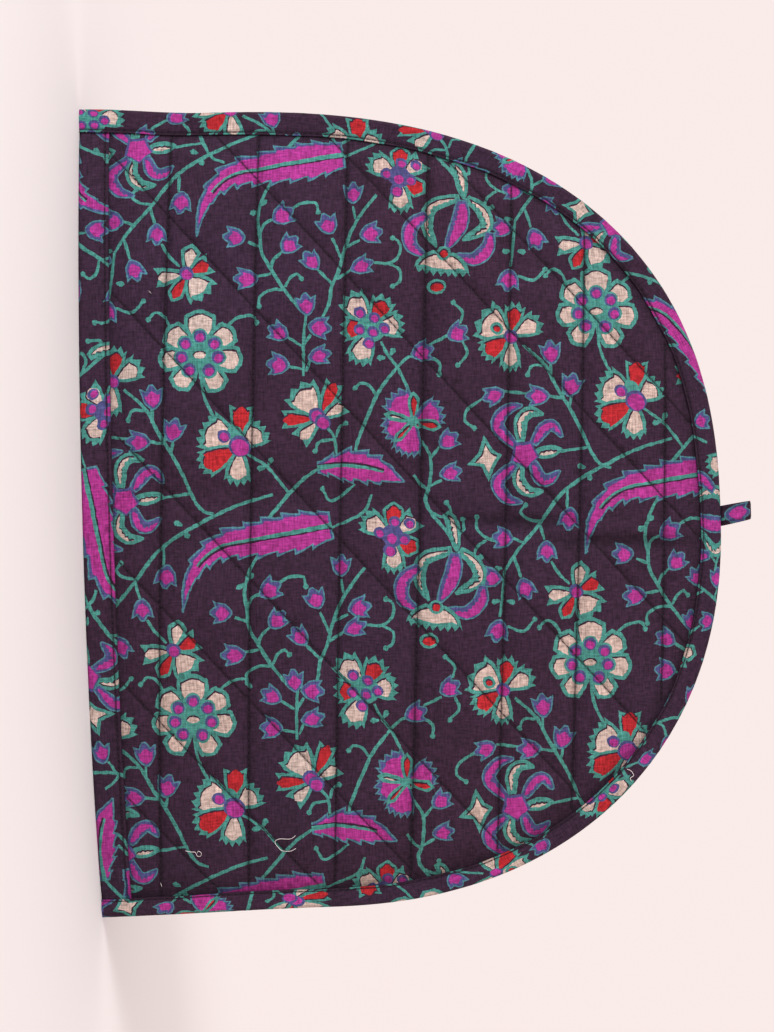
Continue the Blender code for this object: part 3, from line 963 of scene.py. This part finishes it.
def colour_cloth(obj, flat, inks):
    """Give each face its ink, and each corner its place on the flat cloth."""
    mesh = obj.data
    values = np.array([(*linear(INKS[name]), 1.0) for name in INK_NAMES])
    ink = mesh.color_attributes.new("ink", "FLOAT_COLOR", "CORNER")
    ink.data.foreach_set("color", np.repeat(values[inks], 3, axis=0).ravel())
    corners = np.empty(len(mesh.loops), dtype=np.int32)
    mesh.loops.foreach_get("vertex_index", corners)
    layer = mesh.uv_layers.new(name="cloth")
    layer.data.foreach_set("uv", (flat[corners] * MM).ravel())


def columns(x, y, z):
    """Places as rows of (x, y, z)."""
    return np.column_stack(np.broadcast_arrays(x, y, z))


# Panels ------------------------------------------------------------------------


QUILTING_POINTS = 330  # tried along a row, of which those inside the seams are kept
QUILTING_END = 1.0  # how far from the band and the binding a row ends
SHORTEST_ROW = 8


def quilting_chains(facing):
    """Lines of points along the quilting, as (seen x, z), inside the seams."""
    found = []
    for line_x, line_z, slope in ROWS + DIAGONALS:
        x = np.linspace(-WIDTH / 2, WIDTH / 2, QUILTING_POINTS)
        z = line_z + slope * (x - line_x)
        away = distance_to(LIP, -facing * x, z)
        inside = np.abs(-facing * x - APEX_X) < half_width(-facing * x > APEX_X, z, LIP_INSET)
        keep = inside & (z > HEM_BAND_HEIGHT + QUILTING_END) & (z < HEIGHT - LIP_INSET)
        keep = keep & (away > QUILTING_END)
        if keep.sum() > SHORTEST_ROW:
            found.append(even(np.column_stack((x, z))[keep], CHAIN_STEP))
    return found


def panel_place(facing, under):
    """A face of a panel: a function from flat (seen x, z) to places. Under is its inner side."""

    def place(seen_x, z):
        x = -facing * seen_x
        off = INNER_FACE + hollow(x, z, facing)
        if not under:
            off = off + thickness(x, z, facing)
        return columns(x, facing * off, z)

    return place


LOW_EDGE_POINTS = 160


def make_panel(name, facing, lay, material):
    low_edge = np.linspace(-1, 1, LOW_EDGE_POINTS)[1:-1]
    arch = arch_outline(PANEL_INSET, PANEL_INSET, CHAIN_STEP)
    bottom = arch[-1][0] + (arch[0][0] - arch[-1][0]) * (low_edge + 1) / 2
    border = np.vstack((arch, np.column_stack((bottom, np.full(len(bottom), PANEL_INSET)))))
    border = border * (-facing, 1)
    chains = []
    for chain in quilting_chains(facing):
        away = normals_of(chain) * GROOVE_REACH
        chains += [chain, chain + away, chain - away]

    # Painted shade along the stitching, the seams, the hem band's edge, the fold and the sharp creases: rows
    # are the darkest lines, as in the photo, and seams and creases are softer.
    def painted_shade(seen_x, z):
        by_seam = tight(np.maximum(distance_to(LIP, -facing * seen_x, z) - 0.6, 0), 1.4)
        by_band = tight(np.maximum(z - HEM_BAND_HEIGHT - CLEARANCE, 0), 1.2)
        by_row = tight(distance_to_stitching(seen_x, z, ROWS), 0.65)
        by_diagonal = tight(distance_to_stitching(seen_x, z, DIAGONALS))
        by_fold = tight(distance_to_stitching(seen_x, z, [ROWS[FOLDED_ROW]]), 1.5)
        in_crease = in_sharp_crease(seen_x, z)
        return np.maximum.reduce(
            (by_row, 0.85 * by_diagonal, 0.5 * by_fold, 0.55 * by_seam, 0.55 * by_band, 0.65 * in_crease)
        )

    place = partial(panel_place, facing)
    return printed_shell(name, material, border, lay, chains, place, painted_shade, PANEL_PITCHES)


# Strips ------------------------------------------------------------------------
# A strip's flat points are (seen x, w) on a hem band and (s, w) on the binding and the
# loop, where s runs along it and w across.

HEM_END_X = 171.0
HEM_UNDERSIDE = 6.0  # the part of w that lies under the panel's hem
HEM_CORNER = 1.7
HEM_STITCH_HEIGHT = 11.3
FOLDED_EDGE = 1.1
FOLDED_EDGE_DROP = 0.55
BINDING_LEG = 10.0  # the part of w on each panel
BINDING_WIDTHS = (10.4, 8.3)  # as seen, at the hem's -X end and at its +X end
BINDING_FOLD = 8.4  # the part of w round the panels' edges
BINDING_FOLD_REACH = 1.8
BINDING_STITCH_IN = 1.4
BINDING_SLOT = INNER_FACE + EDGE_THICKNESS + CLEARANCE
STRIP_RIPPLE = 0.4
STRIP_WAVES = waves(11, (9, 12, 16, 23, 37))


def folded_edge_drop(to_edge):
    """How far a strip's face falls away at its folded edge."""
    return FOLDED_EDGE_DROP * (1 - smooth(to_edge / FOLDED_EDGE))


def panel_edge_thickness(x):
    """The panel's thickness in the hem: thinner where the binding holds it."""
    to_seam = half_width(x > APEX_X, 0.0, LIP_INSET) - np.abs(x - APEX_X)
    return EDGE_THICKNESS + (HEM_THICKNESS - EDGE_THICKNESS) * smooth(to_seam / SEAM_RAMP)


def folded_under(w, outside, inside, bottom, corner):
    """(y, z) round a strip folded under an edge, for w from its top on the outside to its top inside."""
    y = np.where(w > 0, outside, outside + (inside - outside) * np.clip(-w / HEM_UNDERSIDE, 0, 1))
    y = np.where(w < -HEM_UNDERSIDE, inside, y)
    z = np.where(w > 0, w, np.where(w < -HEM_UNDERSIDE, -w - HEM_UNDERSIDE, 0.0))
    for face, way, past in ((outside, -1, -w), (inside, 1, w + HEM_UNDERSIDE)):
        turn = np.clip((past + corner) / (2 * corner), 0, 1) * math.pi / 2
        near = np.abs(past) < corner
        y = np.where(near, face + way * corner * (1 - np.cos(turn)), y)
        z = np.where(near, corner * (1 - np.sin(turn)), z)
    return y, np.maximum(z, bottom)


def hem_place(facing, under):
    """A face of a hem band: a function from flat (seen x, w) to places. Under is its side on the panel."""

    def place(seen_x, w):
        x = -facing * seen_x
        height = np.clip(np.where(w > 0, w, -w - HEM_UNDERSIDE), 0, HEM_BAND_HEIGHT)
        face = INNER_FACE + hollow(x, height, facing)
        outside, inside = face + panel_edge_thickness(x) + CLEARANCE, face - CLEARANCE / 3
        if not under:
            lift = STRIP_RIPPLE * ripple(STRIP_WAVES, x, w)
            lift = lift * smooth((HEM_BAND_HEIGHT - w) / 3) * smooth(w / 3)
            groove = GROOVE_DEPTH * tight(w - HEM_STITCH_HEIGHT, GROOVE_REACH)
            outside = outside + CLOTH + lift - groove - folded_edge_drop(HEM_BAND_HEIGHT - w)
            inside = inside - np.minimum(CLOTH, 0.75 * inside)
        corner = np.minimum(HEM_CORNER, (outside - inside) / 2.2)
        y, z = folded_under(w, outside, inside, CLOTH if under else 0.0, corner)
        return columns(x, facing * y, z)

    return place


def even_rectangle(low, high, step):
    """The border of a rectangle, with points at even distances."""
    corners = [low, (high[0], low[1]), high, (low[0], high[1])]
    points = []
    for a, b in zip(corners, corners[1:] + corners[:1]):
        count = max(1, round(math.hypot(b[0] - a[0], b[1] - a[1]) / step))
        points += [(a[0] + (b[0] - a[0]) * i / count, a[1] + (b[1] - a[1]) * i / count) for i in range(count)]
    return np.array(points)


def long_chain(start, end, height):
    x = np.arange(start + CHAIN_STEP, end - CHAIN_STEP / 2, CHAIN_STEP)
    return np.column_stack((x, np.full(len(x), height)))


def make_hem_band(name, facing, lay, material):
    low, high = (-HEM_END_X, -HEM_UNDERSIDE - HEM_BAND_HEIGHT), (HEM_END_X, HEM_BAND_HEIGHT)
    border = even_rectangle(low, high, step=2.0)
    heights = [HEM_BAND_HEIGHT - FOLDED_EDGE / 2, HEM_BAND_HEIGHT - FOLDED_EDGE, HEM_STITCH_HEIGHT]
    at_corner = HEM_CORNER * np.array((1, 0.5, 0, -0.5, -1))
    heights += [*at_corner, *(at_corner - HEM_UNDERSIDE)]
    chains = [long_chain(low[0], high[0], height) for height in heights]

    # Painted shade along the hem's stitch line and at the band's folded edge.
    def painted_shade(seen_x, w):
        return np.maximum(tight(w - HEM_STITCH_HEIGHT), 0.5 * tight(w - HEM_BAND_HEIGHT, 0.5))

    place = partial(hem_place, facing)
    return printed_shell(name, material, border, lay, chains, place, painted_shade, STRIP_PITCHES)


EDGE = arch_outline(0.0, 0.0, 1.0)  # its points are about 1 mm apart
EDGE_INWARD = -normals_of(EDGE)
EDGE_LENGTH = len(EDGE) - 1.0


def along_edge(s, inset):
    """(x, z) at a distance s along the outline from the hem at -X, drawn in by inset."""
    x, z, nx, nz = (np.interp(s, np.arange(len(EDGE)), c) for c in (*EDGE.T, *EDGE_INWARD.T))
    return x + inset * nx, np.maximum(z + inset * nz, 0)


def surface_below(x, z, facing):
    """How far the panel, or the hem band on it, stands off the plane between the panels."""
    face = INNER_FACE + hollow(x, z, facing)
    panel = face + np.where(z < HEM_BAND_HEIGHT, panel_edge_thickness(x), thickness(x, z, facing))
    band = (CLEARANCE + CLOTH) * (1 - smooth((z - HEM_BAND_HEIGHT + 1) / 5))
    return panel + band


def binding_place(under):
    """A face of the binding: a function from flat (s, w) to places. Under is its side on the panels."""

    def place(s, w):
        leg_share = np.clip(np.where(w < 0, -w, w - BINDING_FOLD) / BINDING_LEG, 0, 1)
        width = BINDING_WIDTHS[0] + (BINDING_WIDTHS[1] - BINDING_WIDTHS[0]) * smooth(s / EDGE_LENGTH)
        width = width + 0.45 * ripple(SWELLS, s, 0 * s)
        turn = math.pi * (np.clip(w / BINDING_FOLD, 0, 1) - 0.5)
        start = CLOTH if under else 0
        reach = BINDING_FOLD_REACH - start
        inset = start + reach * (1 - np.cos(turn)) + leg_share * (width - BINDING_FOLD_REACH)
        x, z = along_edge(s, inset)
        facing = np.where(w < BINDING_FOLD / 2, FRONT, BACK)
        needed = np.where(facing < 0, surface_below(x, z, FRONT), surface_below(x, z, BACK)) + CLEARANCE
        slot = np.maximum(BINDING_SLOT, needed * smooth(leg_share * 6))
        puckers = STRIP_RIPPLE * ripple(STRIP_WAVES, s, w)
        puckers = puckers * smooth(leg_share * 3) * smooth((1 - leg_share) * 5)
        to_stitch = (1 - leg_share) * BINDING_LEG - BINDING_STITCH_IN
        groove = GROOVE_DEPTH * tight(to_stitch, GROOVE_REACH)
        drop = folded_edge_drop((1 - leg_share) * BINDING_LEG)
        face = slot if under else slot + CLOTH + puckers - groove - drop
        return columns(x, face * np.sin(turn), z)

    return place


def make_binding(name, lay, material):
    low, high = (0.0, -BINDING_LEG), (EDGE_LENGTH, BINDING_FOLD + BINDING_LEG)
    border = even_rectangle(low, high, step=1.8)
    levels = (FOLDED_EDGE / 2, FOLDED_EDGE, BINDING_STITCH_IN, BINDING_STITCH_IN + GROOVE_REACH)
    heights = [low[1] + level for level in levels] + [high[1] - level for level in levels]
    heights += list(np.linspace(0, BINDING_FOLD, 7))
    chains = [long_chain(low[0], high[0], height) for height in heights]

    # Painted shade along the binding's stitch lines and at its folded edges.
    def painted_shade(s, w):
        to_edge = np.minimum(w - low[1], high[1] - w)
        return np.maximum(tight(to_edge - BINDING_STITCH_IN), 0.5 * tight(to_edge, 0.5))

    return printed_shell(name, material, border, lay, chains, binding_place, painted_shade, STRIP_PITCHES)


LOOP_WIDTH = 8.8
LOOP_HEIGHT = 13.5
LOOP_HALF_DEPTH = 4.8
LOOP_CLOTH = 1.3
LOOP_LEAN = math.radians(10)
LOOP_TAPER = 0.30
LOOP_NARROWING = 0.10
LOOP_LENGTH = 32.0
LOOP_SUNK = 0.25
# How far in from the loop's edges its line of painted shade lies
LOOP_CREASE_IN = 1.2


def loop_place(under):
    """A face of the loop: a function from flat (s, w) to places. Under is its inner side."""
    outward = -1 if under else 1

    def centre(angle):
        y = (LOOP_HALF_DEPTH - LOOP_CLOTH / 2) * np.sin(angle) * (1 - LOOP_TAPER * np.cos(angle))
        return np.column_stack((y, (LOOP_HEIGHT - LOOP_CLOTH) / 2 * (1 - np.cos(angle))))

    def place(s, w):
        angle = 2 * math.pi * (0.01 + 0.98 * s / LOOP_LENGTH)
        along = unit(centre(angle + 0.05) - centre(angle - 0.05))
        edge = smooth((LOOP_WIDTH / 2 - np.abs(w)) / FOLDED_EDGE)
        off = outward * LOOP_CLOTH / 2 * (0.55 + 0.45 * edge)
        yz = centre(angle) + np.column_stack((along[:, 1], -along[:, 0])) * off[:, None]
        height = yz[:, 1] + LOOP_CLOTH / 2
        x = APEX_X + w * (1 - LOOP_NARROWING * height / LOOP_HEIGHT) - math.tan(LOOP_LEAN) * height
        return columns(x, yz[:, 0], HEIGHT - LOOP_SUNK + height)

    return place


def make_loop(name, lay, material):
    low, high = (0.0, -LOOP_WIDTH / 2), (LOOP_LENGTH, LOOP_WIDTH / 2)
    border = even_rectangle(low, high, step=0.8)

    # Painted shade along the loop, just in from its folded edges.
    def painted_shade(s, w):
        return 0.8 * tight(LOOP_WIDTH / 2 - np.abs(w) - LOOP_CREASE_IN, 0.6)

    return printed_shell(name, material, border, lay, (), loop_place, painted_shade, LOOP_PITCHES)


# Stitches ----------------------------------------------------------------------


STITCH_PITCH = 2.7
STITCH_SHARE = 0.84
THREAD_HALF_WIDTH = 0.19
THREAD_LIFT = 0.12
NEARBY = 0.2  # over which the cloth's slope under a stitch is measured


def make_stitches(name, chains, place, material):
    """Short lengths of thread along flat lines on a placed piece of cloth."""
    vertices, faces = [], []
    for chain in chains:
        line = even(chain, STITCH_PITCH)
        starts = line[:-1]
        steps = (line[1:] - starts) * STITCH_SHARE
        middles = starts + steps / 2
        a, b = place(*starts.T), place(*(starts + steps).T)
        rises = np.cross(*(place(*(middles + s).T) - place(*(middles - s).T) for s in NEARBY * np.eye(2)))
        rises /= np.linalg.norm(rises, axis=1)[:, None]
        along = b - a
        along /= np.linalg.norm(along, axis=1)[:, None]
        aside = np.cross(along, rises)
        length = np.linalg.norm(b - a, axis=1)[:, None]
        rings = [a - THREAD_LIFT * rises]
        for share in (0.22, 0.78):
            centre = a + share * length * along + THREAD_LIFT * rises
            for turn in (0, 90, 180, 270):
                up, out = math.sin(math.radians(turn)), math.cos(math.radians(turn))
                rings.append(centre + THREAD_HALF_WIDTH * (out * aside + 0.8 * up * rises))
        rings.append(b - THREAD_LIFT * rises)
        block = np.stack(rings, axis=1)
        first = sum(len(v) for v in vertices)
        vertices.append(block.reshape(-1, 3))
        for k in range(len(block)):
            o = first + 10 * k
            for i in range(4):
                j = (i + 1) % 4
                faces.append((o, o + 1 + i, o + 1 + j))
                faces.append((o + 1 + i, o + 5 + i, o + 5 + j, o + 1 + j))
                faces.append((o + 9, o + 5 + j, o + 5 + i))
    return make_object(name, (np.vstack(vertices) * MM).tolist(), faces, material)


# Loose threads -------------------------------------------------------------------

# White lint on the front: lines of (x, z) points
LINT = (
    (
        (141.1, 85.5), (142.6, 83.1), (142.5, 78.4), (143.8, 76.4), (145.8, 77.3), (148.0, 79.6),
        (148.1, 83.0), (146.9, 85.4),
    ),
    (
        (146.4, 37.6), (147.0, 40.0), (147.2, 42.0), (149.0, 42.8), (149.0, 44.2), (147.6, 44.6),
        (146.7, 43.3), (147.8, 42.9),
    ),
    ((117.5, 229.5), (118.5, 231.5), (120.5, 232.5), (121.5, 231), (123, 231.5)),
    ((-94, 30), (-92.8, 31)),
    ((161, 26), (163, 26.5)),
)
LINT_HALF_WIDTH = 0.13


def make_lint(name, place, material):
    vertices, faces = [], []
    for points in LINT:
        line = spline(points, 0.7)
        spots = place(*line.T) - (0, 0.35, 0)
        first = len(vertices)
        for k, spot in enumerate(spots):
            size = LINT_HALF_WIDTH * (0.4 if k in (0, len(spots) - 1) else 1)
            aside = normals_of(line)[k]
            for out, up in ((1, 0), (0, 1), (-1, 0), (0, -1)):
                vertices.append(spot + (size * out * aside[0], size * up, size * out * aside[1]))
        for k in range(len(spots) - 1):
            a = first + 4 * k
            faces += [(a + i, a + (i + 1) % 4, a + 4 + (i + 1) % 4, a + 4 + i) for i in range(4)]
        faces += [(first + 3, first + 2, first + 1, first), tuple(len(vertices) - 4 + i for i in range(4))]
    return make_object(name, (np.array(vertices) * MM).tolist(), faces, material)


# Materials -----------------------------------------------------------------------


WEAVE_PITCH = 0.62
# How much the painted shade in grooves, seams, creases and folds darkens the cloth at its strongest
PAINTED_SHADE_DARKENING = 0.78


def new_material(name, roughness, specular):
    material = bpy.data.materials.new(name)
    material.use_nodes = True
    shader = material.node_tree.nodes["Principled BSDF"]
    shader.inputs["Roughness"].default_value = roughness
    shader.inputs["Specular IOR Level"].default_value = specular
    return material, material.node_tree, shader


def add_node(tree, kind, **values):
    node = tree.nodes.new(kind)
    for key, value in values.items():
        setattr(node, key, value)
    return node


def math_node(tree, operation, first, second):
    """A sum that the shader does: its terms are numbers or the outputs of other nodes."""
    node = add_node(tree, "ShaderNodeMath", operation=operation)
    for socket, value in zip(node.inputs, (first, second)):
        if isinstance(value, (int, float)):
            socket.default_value = value
        else:
            tree.links.new(value, socket)
    return node.outputs[0]


def stretched_noise(tree, coordinates, scale_u, scale_v, detail=2.0):
    """Noise on the flat cloth, with its own scale along and across."""
    scaling = add_node(tree, "ShaderNodeMapping")
    scaling.inputs["Scale"].default_value = (scale_u, scale_v, 1)
    tree.links.new(coordinates, scaling.inputs["Vector"])
    noise = add_node(tree, "ShaderNodeTexNoise")
    noise.inputs["Scale"].default_value = 1.0
    noise.inputs["Detail"].default_value = detail
    tree.links.new(scaling.outputs[0], noise.inputs["Vector"])
    return noise.outputs["Fac"]


def cotton_material():
    """Plain-woven cotton: its ink, uneven threads both ways, a fine weave, and painted shade in grooves,
    seams, creases and folds.

    The noise scales are per metre of cloth.
    """
    material, tree, shader = new_material("printed_cotton", 0.88, 0.16)
    link = tree.links.new
    plus, times = partial(math_node, tree, "ADD"), partial(math_node, tree, "MULTIPLY")
    place = add_node(tree, "ShaderNodeUVMap", uv_map="cloth").outputs[0]
    ink = add_node(tree, "ShaderNodeVertexColor", layer_name="ink").outputs["Color"]
    threads = plus(stretched_noise(tree, place, 1500, 240), stretched_noise(tree, place, 220, 1450))
    fading = stretched_noise(tree, place, 45, 45, 3.0)
    split = add_node(tree, "ShaderNodeSeparateXYZ")
    link(place, split.inputs[0])
    turns = 2 * math.pi / (WEAVE_PITCH * MM)
    weave = times(*(math_node(tree, "SINE", times(split.outputs[k], turns), 0) for k in (0, 1)))
    shade = times(plus(plus(times(threads, 1.5), -0.5), times(weave, 0.16)), plus(times(fading, 0.5), 0.75))
    # Painted shade: the base colour is darkened where grooves, seams, creases and folded edges would lie in
    # shade.
    painted_shade = add_node(tree, "ShaderNodeAttribute", attribute_name="painted_shade").outputs["Fac"]
    shade = times(shade, plus(times(painted_shade, -PAINTED_SHADE_DARKENING), 1.0))
    shade = times(shade, plus(times(stretched_noise(tree, place, 520, 520), 0.7), 0.65))
    tint = add_node(tree, "ShaderNodeValToRGB")
    tint.color_ramp.elements[0].position, tint.color_ramp.elements[1].position = 0.35, 0.65
    tint.color_ramp.elements[0].color = (1.0, 0.94, 0.92, 1)
    tint.color_ramp.elements[1].color = (0.98, 1.0, 1.0, 1)
    link(stretched_noise(tree, place, 9, 9, 1.0), tint.inputs["Fac"])
    tinted = add_node(tree, "ShaderNodeVectorMath", operation="MULTIPLY")
    link(ink, tinted.inputs[0])
    link(tint.outputs["Color"], tinted.inputs[1])
    scaled = add_node(tree, "ShaderNodeVectorMath", operation="SCALE")
    link(tinted.outputs[0], scaled.inputs[0])
    link(shade, scaled.inputs["Scale"])
    link(scaled.outputs[0], shader.inputs["Base Color"])
    bump = add_node(tree, "ShaderNodeBump")
    bump.inputs["Strength"].default_value = 0.35
    bump.inputs["Distance"].default_value = 0.25 * MM
    link(plus(threads, times(weave, 0.5)), bump.inputs["Height"])
    link(bump.outputs[0], shader.inputs["Normal"])
    return material


def thread_material(name, dark, light):
    """Sewing thread, a little uneven along its length."""
    material, tree, shader = new_material(name, 0.7, 0.25)
    place = add_node(tree, "ShaderNodeTexCoord").outputs["Object"]
    uneven = stretched_noise(tree, place, 900, 900)
    ramp = add_node(tree, "ShaderNodeValToRGB")
    ramp.color_ramp.elements[0].color = (*linear(dark), 1)
    ramp.color_ramp.elements[1].color = (*linear(light), 1)
    tree.links.new(uneven, ramp.inputs["Fac"])
    tree.links.new(ramp.outputs["Color"], shader.inputs["Base Color"])
    return material


def floor_material():
    """Pale floor that comes out as bright as the world behind it."""
    material, _, shader = new_material("pale_floor", 1.0, 0.0)
    shader.inputs["Base Color"].default_value = (*FLOOR_COLOUR, 1)
    return material


# Scene ---------------------------------------------------------------------------

WORLD_COLOUR = (0.956, 0.835, 0.812)
SUN_DIRECTION = (-0.63, -0.73, 0.27)
SUN_SHARE = 0.53
WINDOW_PLACE = (-0.62, -0.58, 0.12)
FLOOR_COLOUR = tuple(c / (c + SUN_SHARE * SUN_DIRECTION[2]) for c in WORLD_COLOUR)
CAMERA_DISTANCE = 1.1
PICTURE_HEIGHT = 0.4496
PICTURE_TILT = 0.02863
PICTURE_MIDDLE = (0.0048, 0.1287)


def add_camera():
    """The camera lies on its side, so that the picture's left is down, as in the photo."""
    data = bpy.data.cameras.new("camera")
    data.sensor_width = 36
    data.lens = 36 * CAMERA_DISTANCE / PICTURE_HEIGHT
    camera = bpy.data.objects.new("camera", data)
    tall = math.sqrt(1 - PICTURE_TILT**2)
    right = Vector((PICTURE_TILT, 0, tall))
    up = Vector((-tall, 0, PICTURE_TILT))
    turn = Matrix((right, up, right.cross(up))).transposed().to_4x4()
    place = (PICTURE_MIDDLE[0], -CAMERA_DISTANCE, PICTURE_MIDDLE[1])
    camera.matrix_world = Matrix.Translation(place) @ turn
    bpy.context.scene.collection.objects.link(camera)
    bpy.context.scene.camera = camera


def add_light(name, kind, place, **settings):
    """A light at a place, turned to the middle of the floor and hidden from the camera."""
    data = bpy.data.lights.new(name, kind)
    for key, value in settings.items():
        setattr(data, key, value)
    light = bpy.data.objects.new(name, data)
    light.location = place
    light.rotation_euler = Vector(place).to_track_quat("Z", "Y").to_euler()
    light.visible_camera = False
    bpy.context.scene.collection.objects.link(light)


def add_surroundings():
    bpy.context.scene.view_settings.view_transform = "Standard"
    world = bpy.data.worlds.new("world")
    world.use_nodes = True
    background = world.node_tree.nodes["Background"]
    background.inputs["Color"].default_value = (*WORLD_COLOUR, 1)
    background.inputs["Strength"].default_value = 1.0
    bpy.context.scene.world = world
    add_light("soft_sun", "SUN", SUN_DIRECTION, energy=SUN_SHARE * math.pi, angle=math.radians(24))
    add_light("window", "AREA", WINDOW_PLACE, energy=1.6, size=0.5, color=(0.72, 0.84, 1.0))
    far = 60.0
    corners = [(-far, -far, 0), (far, -far, 0), (far, far, 0), (-far, far, 0)]
    floor = make_object("floor", corners, [(0, 1, 2, 3)], floor_material())


OVER_THE_LIP = 1.5  # how far past the binding's lip a thread already lies on it
BINDING_RISE = 1.9


def front_of_all(x, z):
    """The front of the panel, or of the binding where that lies over it."""
    spots = panel_place(FRONT, False)(x, z)
    over = distance_to(LIP, x, z) < OVER_THE_LIP
    outside = np.abs(x - APEX_X) > half_width(x > APEX_X, z, LIP_INSET)
    return spots - np.column_stack((0 * x, np.where(over | outside, BINDING_RISE, 0.0), 0 * x))


def declare(piece, node=None):
    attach(piece, "root")
    if node:
        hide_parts(node)


def stitch_piece(name, chains, place, thread):
    declare(make_stitches(name, chains, place, thread))


def main():
    add_camera()
    add_surroundings()
    cotton = cotton_material()
    thread = thread_material("plum_thread", (24, 12, 22), (50, 32, 48))
    lint = thread_material("white_lint", (205, 190, 188), (240, 232, 230))
    sides = (
        ("front", FRONT, Lay(x=-66.0, y=51.1, turn=88.4), Lay(x=42.0, y=89.0, turn=180)),
        ("back", BACK, Lay(x=20.0, y=190.0, turn=-89.0), Lay(x=-30.0, y=60.0, turn=0)),
    )
    for side, facing, panel_lay, band_lay in sides:
        panel = make_panel(side + "_quilted_panel", facing, panel_lay, cotton)
        declare(panel, side + "_panel")
        band = make_hem_band(side + "_folded_hem_band", facing, band_lay, cotton)
        declare(band, side + "_hem_band")
        quilting = quilting_chains(facing)
        on_panel, on_band = panel_place(facing, False), hem_place(facing, False)
        stitch_piece(side + "_quilting_stitches", quilting, on_panel, thread)
        seam = [long_chain(-HEM_END_X + 8, HEM_END_X - 8, HEM_STITCH_HEIGHT)]
        stitch_piece(side + "_hem_stitches", seam, on_band, thread)
    binding = make_binding("folded_edge_binding", Lay(x=100, y=20, turn=10), cotton)
    declare(binding, "edge_binding")
    seams = [long_chain(2, EDGE_LENGTH - 2, BINDING_STITCH_IN - BINDING_LEG)]
    seams.append(long_chain(2, EDGE_LENGTH - 2, BINDING_FOLD + BINDING_LEG - BINDING_STITCH_IN))
    stitch_piece("binding_stitches", seams, binding_place(False), thread)
    declare(make_lint("loose_white_threads", front_of_all, lint))
    loop = make_loop("folded_top_loop", Lay(x=-42.1, y=-11.0, turn=272), cotton)
    declare(loop, "top_loop")


main()
